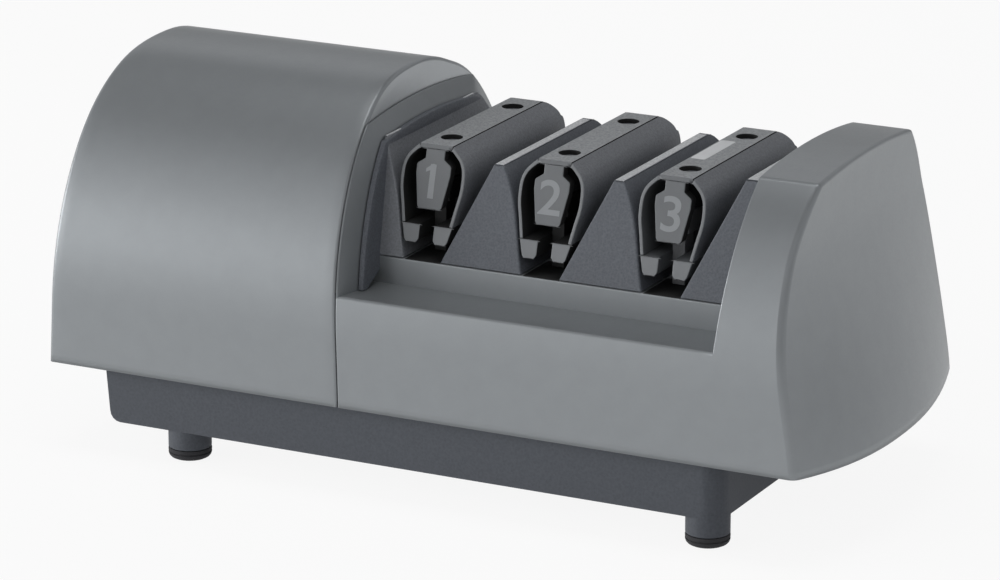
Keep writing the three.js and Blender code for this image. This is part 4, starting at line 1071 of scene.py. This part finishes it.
    def add_plate(self, made: Skin) -> None:
        """Adds the top plate: strips along y, a square left for each boss, the rounded rear and the edges."""
        top, low, half = self.plate_top, self.plate_top - self.plate_thickness, self.plate_half
        pitch, front = self.screw_pitch, float(self.line.front(top))
        rear_end = float(self.line.rear(low, top, self.corner))
        flat_end = float(self.line.rear(top)) - self.corner
        u = np.linspace(-half, half, 9) + self.x
        strips = ((front, -pitch - half, 5), (-pitch + half, pitch - half, 8), (pitch + half, flat_end, 3))
        for strip in strips:
            made.grid(stack(u[None], np.linspace(*strip)[:, None], top), Face.TOP)
        y_rear = flat_end + (rear_end - flat_end) * np.linspace(0.0, 1.0, 6)
        drop = top - self.corner + np.sqrt(np.maximum(0.0, self.corner**2 - (y_rear - flat_end) ** 2))
        made.grid(stack(u[None], y_rear[:, None], drop[:, None]), Face.TOP)
        z_front = np.array([top, top - self.clearance, low])[:, None]
        made.grid(stack(u[None], self.line.front(z_front), z_front), Face.FRONT)
        y_all = np.concatenate([np.linspace(front, flat_end, 24), y_rear[1:]])
        z_all = np.concatenate([np.full(24, top), drop[1:]])
        for side in (-1.0, 1.0):
            upper = stack(self.x + side * half, y_all, z_all)
            under = upper.copy()
            under[:, 2] = low
            under[0, 1] = self.line.front(low)
            made.grid(np.stack([upper, under]), Face.SIDE)

    def add_boss(self, made: Skin, y: float) -> None:
        """Adds a boss: a square of the plate turned into a circle, and rings down the bore and up outside.

        Args:
            made: The skin that it goes into.
            y: The boss's middle.
        """
        half, top, floor, bottom = self.plate_half, self.plate_top, self.counterbore_floor, self.boss_bottom
        side = np.stack([np.linspace(-half, half, 9)[:-1], np.full(8, -half)], axis=-1)
        quarter = np.array([[0.0, 1.0], [-1.0, 0.0]])
        square = closed(np.vstack([side @ np.linalg.matrix_power(quarter, k) for k in range(4)]))
        angle = np.arctan2(square[:, 1], square[:, 0])
        circle = np.stack([np.cos(angle), np.sin(angle)], axis=-1)
        level = lambda flat, z: stack(flat[:, 0] + self.x, flat[:, 1] + y, z)
        rim = level(circle * self.counterbore, top)
        made.grid(between(level(square, top), rim, np.linspace(0, 1, 4)), Face.TOP)
        profile = (
            (self.counterbore, top),
            (self.counterbore, self.counterbore_ring),
            (self.counterbore, floor),
            (self.head_radius, floor),
            (self.bore_radius, floor),
            (self.bore_radius, bottom),
            (self.boss_radius, bottom),
            (self.boss_radius, top - self.plate_thickness),
        )
        made.grid(np.stack([level(circle * radius, z) for radius, z in profile]), Face.BORE)

    def numeral(self) -> Object:
        """The stage's number, a thin print on the plaque's leaning face."""
        text = bpy.data.curves.new(f"number_{self.number}", "FONT")
        text.body = str(self.number)
        sizes = (self.digit_size, self.digit_depth, self.digit_bold)
        text.size, text.extrude, text.offset = (length * MM for length in sizes)
        flat = new_object("numeral", text)
        bpy.context.view_layer.update()
        mesh = bpy.data.meshes.new_from_object(flat.evaluated_get(bpy.context.evaluated_depsgraph_get()))
        bpy.data.objects.remove(flat)
        mesh.name = f"stage_number_{self.number}"
        local = read(mesh.vertices, "co", 3) / MM
        local[:, :2] -= (local[:, :2].max(axis=0) + local[:, :2].min(axis=0)) / 2
        x = self.x + local[:, 0] * self.digit_widening - self.digit_left
        z = self.digit_middle + local[:, 1] * math.cos(math.atan(self.line.front_lean))
        y = self.line.front(z) - self.digit_lift - local[:, 2]
        mesh.vertices.foreach_set("co", place(stack(x, y, z)).ravel())
        piece = new_object(mesh.name, mesh)
        if self.number == 1:
            self.add_flag(mesh)
        return dress(piece, BODY, PRINT, "label")

    def add_flag(self, mesh: Mesh) -> None:
        """Gives the one its flag: a short stroke from the top of the bar down to the left."""
        x, z = np.array(self.flag).T + [[self.x - self.digit_left], [self.digit_middle]]
        y = self.line.front(z)
        points = place(stack(x, np.stack([y + self.flag_back, y - self.flag_front]), z))
        with edited(mesh) as made:
            back, face = ([made.verts.new(point) for point in row] for row in points.tolist())
            made.faces.new(face[::-1])
            for k in range(len(face)):
                after = (k + 1) % len(face)
                made.faces.new((face[k], face[after], back[after], back[k]))
            made.normal_update()

    def build(self) -> list[Object]:
        """Builds the arch, the cap and the number."""
        return [self.arch(), self.cap(), self.numeral()]


@dataclass
class LabelPatch:
    """The bare light patch let into the last cap: a thin slab with rounded corners and edges."""

    low: tuple[float, float] = (-4.9, -9.5)
    high: tuple[float, float] = (-0.2, 12.8)
    corner: float = 0.7
    floor: float = 75.15
    top: float = 75.58
    edge: tuple[tuple[float, float], ...] = ((0.0, 0.12), (0.05, 0.03), (0.16, 0.0))

    def build(self) -> list[Object]:
        """Builds the patch as rings from its floor, round its edge, to its middle."""
        made = Skin()
        corners = [self.low, (self.high[0], self.low[1]), self.high, (self.low[0], self.high[1])]
        outline = closed(round_corners(corners, [self.corner] * 4, 5))
        middle, reach = outline.mean(axis=0), (np.array(self.high) - self.low) / 2
        rings = []
        for inset, z in ((0.0, self.floor), *((inset, self.top - drop) for inset, drop in self.edge)):
            x, y = (middle + (outline - middle) * (1 - inset / reach)).T
            rings.append(stack(x + STAGES[-1], y, z))
        made.grid(np.stack(rings))
        made.fan(rings[-1][:-1])
        made.fan(rings[0][:-1])
        piece = finish_piece(made.mesh("bare_patch"), even=False)
        return [dress(piece, BODY, FOIL, "label", "blank_label")]


@dataclass
class Feet:
    """The four rubber pads: a turned profile with a groove near its lower edge."""

    left: float = 42.6
    right: float = 215.0
    side: float = 47.8
    profile: tuple[tuple[float, float], ...] = (
        (0.01, 0.0),
        (4.2, 0.0),
        (5.2, 0.15),
        (5.9, 0.5),
        (6.35, 1.0),
        (6.55, 1.55),
        (6.6, 1.9),
        (6.3, 2.02),
        (6.28, 2.3),
        (6.6, 2.42),
        (6.62, 3.0),
        (6.5, 3.4),
        (2.9, 3.42),
        (2.9, 8.8),
        (0.01, 8.8),
    )

    def build(self) -> list[Object]:
        """Builds the pads."""
        pieces = []
        radius, z = np.array(self.profile).T[..., None]
        angle = np.linspace(0.0, 2 * math.pi, 49)
        for end, x in (("left", self.left), ("right", self.right)):
            for side, y in (("front", -self.side), ("rear", self.side)):
                made = Skin()
                made.grid(stack(x + radius * np.cos(angle), y + radius * np.sin(angle), z - SHIFT[2]))
                piece = finish_piece(made.mesh(f"foot_pad_{side}_{end}"))
                pieces.append(dress(piece, BODY, RUBBER, "foot_rubber", f"rubber_foot_{side}_{end}"))
        return pieces


@dataclass
class SoftenedSolids:
    """Solids whose shape is right and that only need their edges broken: merged copies with small bevels."""

    table: tuple[tuple[str, str, float], ...] = (
        ("base_tray", "tray_body", 0.6),
        ("filings_cover", "cover_plate", 0.35),
        ("guide_post_1", "post_1", 0.25),
        ("guide_post_2", "post_2", 0.25),
        ("guide_post_3", "post_3", 0.25),
        ("switch_body", "switch_frame", 0.5),
        ("switch_rocker", "switch_key", 0.5),
    )
    flat_angle: float = 0.4
    edge_angle: float = 35.0

    def build(self, frame: dict) -> list[Object]:
        """Builds the copies.

        Args:
            frame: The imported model.

        Returns:
            The pieces.
        """
        slots = {entry["node"]: entry["material_slot"] for entry in frame["record"]["subparts"]}
        groups = frame["record"]["behaviour"]["bodies"]
        bodies = {node: body for body, nodes in groups.items() for node in nodes}
        pieces = []
        for node, name, radius in self.table:
            mesh = frame["nodes"][node].data.copy()
            mesh.name = name
            mesh.materials.clear()
            with edited(mesh) as made:
                bmesh.ops.remove_doubles(made, verts=made.verts, dist=0.01 * MM)
                flat = math.radians(self.flat_angle)
                bmesh.ops.dissolve_limit(made, angle_limit=flat, verts=made.verts, edges=made.edges)
            piece = new_object(name, mesh)
            mesh.polygons.foreach_set("use_smooth", [True] * len(mesh.polygons))
            add_rounding(piece, radius * MM, 2, "ANGLE").angle_limit = math.radians(self.edge_angle)
            piece.modifiers.new("even_shading", "WEIGHTED_NORMAL")
            # The last post is painted a lighter grey: painted light.
            finish = POST_GREY if node == "guide_post_3" else FINISHES[slots[node]]
            pieces.append(dress(piece, bodies[node], finish, slots[node], node))
        return pieces


def linear(hex_colour: str) -> tuple[float, float, float, float]:
    """An sRGB hex value as a linear colour with full cover."""
    parts = [int(hex_colour[k : k + 2], 16) / 255 for k in (1, 3, 5)]
    curve = [p / 12.92 if p <= 0.04045 else ((p + 0.055) / 1.055) ** 2.4 for p in parts]
    return (*curve, 1.0)


def add_node(
    tree: NodeTree, kind: str, settings: dict | None = None, links: dict | None = None
) -> bpy.types.NodeOutputs:
    """Adds a node with its settings and links.

    Args:
        tree: The tree that it goes into.
        kind: The node's type name, without the part that all of them share.
        settings: Values of its properties, or of its inputs by name or number.
        links: Output sockets for its inputs, by name or number.

    Returns:
        The node's outputs.
    """
    node = tree.nodes.new(f"ShaderNode{kind}")
    for name, value in (settings or {}).items():
        if isinstance(name, str) and hasattr(node, name):
            setattr(node, name, value)
        else:
            node.inputs[name].default_value = value
    for name, socket in (links or {}).items():
        tree.links.new(socket, node.inputs[name])
    return node.outputs


def empty_tree(owner: bpy.types.Material | bpy.types.World) -> NodeTree:
    """The node tree of a material or a world, with nothing in it."""
    owner.use_nodes = True
    owner.node_tree.nodes.clear()
    return owner.node_tree


class Grain(Enum):
    """How a surface was made, which is what its pattern looks like."""

    SPRAYED = "sprayed"
    SPARK_ERODED = "spark_eroded"
    GRIT = "grit"
    TURNED = "turned"
    STACKED = "stacked"
    WOUND = "wound"
    CAST = "cast"


@dataclass(frozen=True)
class Finish:
    """One finish: its common name, its colours, and the size and depth of its pattern in millimetres."""

    name: str
    colour: str
    second: str
    roughness: float
    grain: Grain
    size: float
    depth: float
    metallic: float = 0.0
    mottle: float = 6.0
    rough_spread: float = 0.06
    ior: float = 1.5

    def material(self) -> bpy.types.Material:
        """The finish as a material, made once."""
        if self.name in bpy.data.materials:
            return bpy.data.materials[self.name]
        material = bpy.data.materials.new(self.name)
        tree = empty_tree(material)
        height, cloud = self.pattern(tree, add_node(tree, "TexCoord")["Object"])
        tints = {"data_type": "RGBA", 6: linear(self.colour), 7: linear(self.second)}
        colour = add_node(tree, "Mix", tints, {0: cloud})[2]
        span = {"To Min": self.roughness - self.rough_spread, "To Max": self.roughness + self.rough_spread}
        rough = add_node(tree, "MapRange", span, {"Value": height})["Result"]
        relief = {"Strength": 1.0, "Distance": self.depth * MM}
        bump = add_node(tree, "Bump", relief, {"Height": height})["Normal"]
        links = {"Base Color": colour, "Roughness": rough, "Normal": bump}
        shader = add_node(tree, "BsdfPrincipled", {"Metallic": self.metallic, "IOR": self.ior}, links)
        add_node(tree, "OutputMaterial", {}, {"Surface": shader["BSDF"]})
        return material

    def pattern(
        self, tree: NodeTree, where: NodeSocket
    ) -> tuple[NodeSocket, NodeSocket]:
        """The pattern's height and its colour share, for the way the surface was made.

        Args:
            tree: The material's tree.
            where: Object coordinates.

        Returns:
            Two sockets from nought to one.
        """
        at = {"Vector": where}
        scale = 1.0 / (self.size * MM)
        soft = {"Scale": scale, "Detail": 2.0, "Roughness": 0.6}
        if self.grain in (Grain.SPARK_ERODED, Grain.GRIT):
            fine = add_node(tree, "TexNoise", soft, at)["Fac"]
            cells = add_node(tree, "TexVoronoi", {"Scale": scale * 0.8}, at)["Distance"]
            fine = add_node(tree, "Math", {"operation": "MULTIPLY_ADD", 1: 0.6}, {0: cells, 2: fine})[0]
            spread = {"From Min": 0.35, "From Max": 1.05}
            return fine, add_node(tree, "MapRange", spread, {"Value": fine})["Result"]
        clouds = {"Scale": 1.0 / (self.mottle * MM), "Detail": 3.0, "Roughness": 0.55}
        broad = add_node(tree, "TexNoise", clouds, at)["Fac"]
        if self.grain in (Grain.TURNED, Grain.STACKED, Grain.WOUND):
            way = "Z" if self.grain is Grain.WOUND else "X"
            bands = {"wave_type": "BANDS", "bands_direction": way, "Scale": scale / 20, "Distortion": 0.4}
            wave = add_node(tree, "TexWave", bands, at)["Fac"]
            return wave, add_node(tree, "Math", {"operation": "MULTIPLY"}, {0: wave, 1: broad})[0]
        return add_node(tree, "TexNoise", soft, at)["Fac"], broad


# Each finish has the common name of its material, and its comment says what the eye gets from it.

# Sprayed enamel: an even mid grey with a broad soft sheen and next to no texture.
COAT = Finish("satin_grey_enamel", "#888c8f", "#8f9396", 0.4, Grain.SPRAYED, 0.9, 0.006, metallic=0.5)
# The same enamel on the crescent over the frame, painted paler as painted light, so that the dome ends in a
# light rim.
LIT_COAT = replace(COAT, name="satin_grey_enamel_painted_light", colour="#a8acaf", second="#aeb2b5")
# The same enamel on the frame's bevel, painted a step darker and duller as painted shade, so that it lies in
# shade.
SHADED_COAT = replace(
    COAT, name="satin_grey_enamel_painted_shade", colour="#767a7d", second="#7c8083", roughness=0.45
)
# Arches and the first guide: the guides' plastic painted a lighter dark grey as painted light for their lit
# shoulders, with a fine matt grain that breaks up highlights.
ARCH = Finish("moulded_abs_painted_light", "#62656a", "#797c81", 0.58, Grain.SPARK_ERODED, 0.55, 0.04)
# The other guides: the same grain in a darker, cooler grey with a trace of lighter specks.
GUIDE = Finish("dark_moulded_abs", "#4b4f55", "#61656c", 0.62, Grain.SPARK_ERODED, 0.55, 0.04)
# Plaques: a plain satin grey that is smoother than what is round it, so the numbers read well.
CAP = Finish("satin_grey_abs", "#64676a", "#6c6f72", 0.5, Grain.SPRAYED, 0.7, 0.01)
# Tops of the caps: a paler grey than the caps, with fine pale specks.
CAP_TOP = Finish("pale_top_grey_abs", "#696c6f", "#9b9ea1", 0.5, Grain.SPARK_ERODED, 0.6, 0.03)
# Ridges of the guides: narrow pale lines with a speckled look.
RIDGE = Finish("pale_ridge_abs", "#9a9da0", "#d0d2d4", 0.45, Grain.SPARK_ERODED, 0.6, 0.03)
# Front and rear edges of the arches: a painted highlight, a thin lighter outline with a slight shine.
RIM = Finish("moulded_edge_painted_highlight", "#707376", "#7b7e81", 0.45, Grain.SPRAYED, 0.6, 0.01)
# Painted shade: black without any shine on inner walls, slots, bores, the caps' sides and the dome's seam, so
# that they read as depth.
LINING = Finish("black_painted_shade", "#0d0e0f", "#131415", 0.8, Grain.SPARK_ERODED, 0.6, 0.02)
# The last arch's inner walls: a lighter painted shade in a dull mid grey, since that arch's inside is lit, so
# that it shows.
GREY_PAINTED_SHADE = Finish("grey_painted_shade", "#4b4e51", "#55585b", 0.7, Grain.SPARK_ERODED, 0.6, 0.02)
# Numbers: a flat light grey print that stands out softly from its ground.
PRINT = Finish("pad_printed_ink", "#888c8f", "#8f9295", 0.5, Grain.SPRAYED, 0.4, 0.004)
# The bare patch: the palest area, smooth with a weak silvery sheen.
FOIL = Finish("plain_matt_foil", "#d0d2d4", "#d6d8da", 0.45, Grain.SPRAYED, 1.2, 0.004, metallic=0.1)
# Centre posts: near black and matt, they vanish between the arms.
POST = Finish("black_moulded_nylon", "#0f1011", "#161718", 0.6, Grain.SPARK_ERODED, 0.6, 0.03)
# The last centre post: painted light, a matt mid grey in place of the posts' black where that stage is lit,
# so that it stands out from the dark behind it.
POST_GREY = replace(POST, name="moulded_nylon_painted_light", colour="#686a6d", second="#707275")
# Tray: a bluish charcoal with a coarser grain, clearly darker and duller than the housings.
TRAY = Finish("charcoal_moulded_abs", "#41454c", "#4e5259", 0.66, Grain.SPARK_ERODED, 0.7, 0.05)
# Feet: soft dark grey without highlights.
RUBBER = Finish("foot_rubber", "#37393c", "#404245", 0.75, Grain.SPRAYED, 0.5, 0.02)
FINISHES: dict[str, Finish] = {
    "housing": COAT,
    "guide_plastic": GUIDE,
    "cap_plastic": CAP,
    "post_plastic": POST,
    "tray_plastic": TRAY,
    "foot_rubber": RUBBER,
    "label": FOIL,
    # A sparkling pale grit on bright metal.
    "disc_abrasive": Finish("diamond_coated_steel", "#b9bcbf", "#d3d5d7", 0.36, Grain.GRIT, 0.35, 0.05, 1.0),
    # Bright wire with fine pale bands.
    "spring_steel": Finish("drawn_spring_steel", "#b5b6b8", "#c4c5c7", 0.3, Grain.TURNED, 0.5, 0.01, 1.0),
    # A clean bright metal with fine rings from grinding.
    "shaft_steel": Finish("ground_steel", "#b0b1b3", "#bfc0c2", 0.28, Grain.TURNED, 0.4, 0.006, 1.0),
    # A pale, slightly cloudy plating.
    "screw_steel": Finish("zinc_plated_steel", "#c2c3c4", "#cfd0d1", 0.3, Grain.CAST, 0.6, 0.008, 1.0),
    # Near black metal with a dim shine.
    "dark_screw": Finish("blackened_steel", "#2a2b2d", "#343537", 0.45, Grain.CAST, 0.5, 0.01, 0.8),
    # Grey metal with the fine stripes of stacked sheets.
    "core_laminations": Finish(
        "stacked_core_steel", "#5c5e60", "#7b7d7f", 0.5, Grain.STACKED, 1.0, 0.08, 0.9
    ),
    # Warm brown turns with thin bright lines between them.
    "winding_copper": Finish("enamelled_copper", "#8f4a25", "#b8683a", 0.35, Grain.WOUND, 0.8, 0.12, 0.8),
    # A light dull metal with a soft uneven skin.
    "bracket_aluminium": Finish("die_cast_aluminium", "#a5a8aa", "#b2b5b7", 0.5, Grain.CAST, 0.8, 0.03, 1.0),
    # Yellow-brown metal with tiny pores.
    "bush_bronze": Finish("sintered_bronze", "#9c7640", "#ad874e", 0.5, Grain.GRIT, 0.3, 0.02, 1.0),
    # Black with a weak shine and a fine grain.
    "black_plastic": Finish("black_moulded_pbt", "#1a1b1c", "#222325", 0.45, Grain.SPARK_ERODED, 0.5, 0.02),
    # A soft black without highlights.
    "grommet_rubber": Finish("black_grommet_rubber", "#202122", "#292a2b", 0.7, Grain.SPRAYED, 0.4, 0.02),
}


def dress(
    piece: Object,
    body: str,
    finish: Finish,
    slot: str,
    *nodes: str,
    others: Sequence[Finish] = (),
) -> Object:
    """Gives a piece its finish and its body, and hides the CAD nodes that it replaces.

    Args:
        piece: The object.
        body: The body that it rides on.
        finish: Its finish.
        slot: The record's material slot; not used.
        nodes: CAD nodes that it replaces.
        others: Finishes of its other material numbers.

    Returns:
        The piece.
    """
    numbers = read(piece.data.polygons, "material_index", kind=np.int32)
    piece.data.materials.clear()
    for one in (finish, *others):
        piece.data.materials.append(one.material())
    piece.data.polygons.foreach_set("material_index", numbers)
    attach(piece, body)
    if nodes:
        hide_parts(*nodes)
    return piece


def dress_nodes(frame: dict) -> None:
    """Gives every carried-over CAD node the finish of its slot."""
    for entry in frame["record"]["subparts"]:
        node = frame["nodes"][entry["node"]]
        node.data.materials.clear()
        node.data.materials.append(FINISHES[entry["material_slot"]].material())


@dataclass
class Studio:
    """The pale floor, the soft light and the camera, in metres, degrees and watts."""

    eye: tuple[float, float, float] = (0.6282, -1.2520, 0.4764)
    azimuth: float = 26.838
    elevation: float = 16.874
    focal: float = 174.914
    sensor: float = 36.0
    nearest: float = 0.05
    farthest: float = 30.0
    floor_half: float = 12.0
    paper: str = "#f4f4f4"
    glow: float = 0.9
    sky: tuple[tuple[float, float], ...] = ((0.0, 0.9), (0.2, 0.0), (0.5, 1.04), (0.8, 0.0), (1.0, 0.0))
    lamps: tuple[tuple[str, float, float, float], ...] = (
        ("low_front_left_box", -65, 7, 14.8),
        ("low_front_box", -30, 10, 2.7),
        ("top_box", 0, 88, 7.7),
    )
    sky_blue: float = 1.01
    lamp_width: float = 1.1
    lamp_height: float = 0.55
    lamp_distance: float = 1.7
    lamp_aim: float = 0.06

    @staticmethod
    def towards(azimuth: float, elevation: float) -> Vector:
        """The way from the object to a place some degrees round from the front and above the floor."""
        a, e = math.radians(azimuth), math.radians(elevation)
        return Vector((math.sin(a) * math.cos(e), -math.cos(a) * math.cos(e), math.sin(e)))

    def camera(self) -> None:
        """A long lens that looks from a little to the right and above, level and unshifted."""
        data = bpy.data.cameras.new("view")
        data.lens, data.sensor_width = self.focal, self.sensor
        data.clip_start, data.clip_end = self.nearest, self.farthest
        a, e = math.radians(self.azimuth), math.radians(self.elevation)
        right = Vector((math.cos(a), math.sin(a), 0.0))
        up = Vector((-math.sin(a) * math.sin(e), math.cos(a) * math.sin(e), math.cos(e)))
        turn = Matrix((right, up, self.towards(self.azimuth, self.elevation))).transposed()
        camera = new_object("view", data)
        camera.matrix_world = Matrix.Translation(Vector(self.eye)) @ turn.to_4x4()
        bpy.context.scene.camera = camera

    def floor(self) -> None:
        """A wide white floor that keeps a soft shadow and shows white to the camera."""
        mesh = bpy.data.meshes.new("floor")
        s = self.floor_half
        mesh.from_pydata([(-s, -s, 0), (s, -s, 0), (s, s, 0), (-s, s, 0)], [], [(0, 1, 2, 3)])
        floor = new_object("floor", mesh)
        material = bpy.data.materials.new("white_paper")
        tree = empty_tree(material)
        paper = add_node(tree, "BsdfDiffuse", {"Color": linear(self.paper)})
        glow = add_node(tree, "Emission", {"Color": linear("#ffffff"), "Strength": 1.0})
        amount = add_node(tree, "Math", {"operation": "MULTIPLY", 1: self.glow}, {0: self.seen(tree)})
        mix = add_node(tree, "MixShader", {}, {0: amount[0], 1: paper[0], 2: glow[0]})
        add_node(tree, "OutputMaterial", {}, {"Surface": mix[0]})
        mesh.materials.append(material)

    @staticmethod
    def seen(tree: NodeTree) -> NodeSocket:
        """One for a ray that the camera, a gloss or a clear piece looks along, and nought for the rest."""
        path = add_node(tree, "LightPath")
        share = path["Is Camera Ray"]
        for kind in ("Is Glossy Ray", "Is Transmission Ray"):
            share = add_node(tree, "Math", {"operation": "MAXIMUM"}, {0: share, 1: path[kind]})[0]
        return share

    def world(self) -> None:
        """Light from all round: a white horizon, a bright band a third of the way up, and dark overhead."""
        world = bpy.data.worlds.new("studio")
        bpy.context.scene.world = world
        tree = empty_tree(world)
        direction = add_node(tree, "TexCoord")["Generated"]
        height = add_node(tree, "SeparateXYZ", {}, {0: direction})["Z"]
        ramp = add_node(tree, "ValToRGB", {}, {"Fac": height})
        bands = ramp["Color"].node.color_ramp.elements
        while len(bands) < len(self.sky):
            bands.new(0.5)
        for band, (at, level) in zip(bands, self.sky):
            band.position, band.color = at, (level, level, level * self.sky_blue, 1.0)
        sky = add_node(tree, "Background", {"Strength": 1.0}, {"Color": ramp["Color"]})
        add_node(tree, "OutputWorld", {}, {"Surface": sky[0]})

    def lamp(self, name: str, azimuth: float, elevation: float, power: float) -> None:
        """A soft rectangle of light that looks at the object.

        Args:
            name: The lamp's name.
            azimuth: Degrees round from the front, to the right.
            elevation: Degrees above the floor.
            power: Watts.
        """
        data = bpy.data.lights.new(name, "AREA")
        data.shape, data.energy = "RECTANGLE", power
        data.size, data.size_y = self.lamp_width, self.lamp_height
        way = self.towards(azimuth, elevation)
        turn = way.to_track_quat("Z", "Y").to_matrix().to_4x4()
        move = Matrix.Translation(Vector((0, 0, self.lamp_aim)) + way * self.lamp_distance)
        new_object(name, data).matrix_world = move @ turn

    def build(self) -> None:
        """Sets the studio up."""
        self.camera()
        self.floor()
        self.world()
        for lamp in self.lamps:
            self.lamp(*lamp)
        bpy.context.scene.view_settings.view_transform = "Standard"


def report(pieces: Iterable[Object]) -> None:
    """Logs each piece with its polygon count."""
    for piece in pieces:
        LOG.info("%s: %d polygons", piece.name, len(piece.data.polygons))


def main() -> None:
    """Builds everything in order."""
    logging.basicConfig(level=logging.INFO, format="%(message)s")
    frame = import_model()
    dress_nodes(frame)
    stages = [Stage(number, x) for number, x in enumerate(STAGES, 1)]
    for assembly in (MotorHousing(), GuideHousing(), KnifeGuides(), *stages, LabelPatch(), Feet()):
        report(assembly.build())
    report(SoftenedSolids().build(frame))
    Studio().build()


if __name__ == "__main__":
    main()
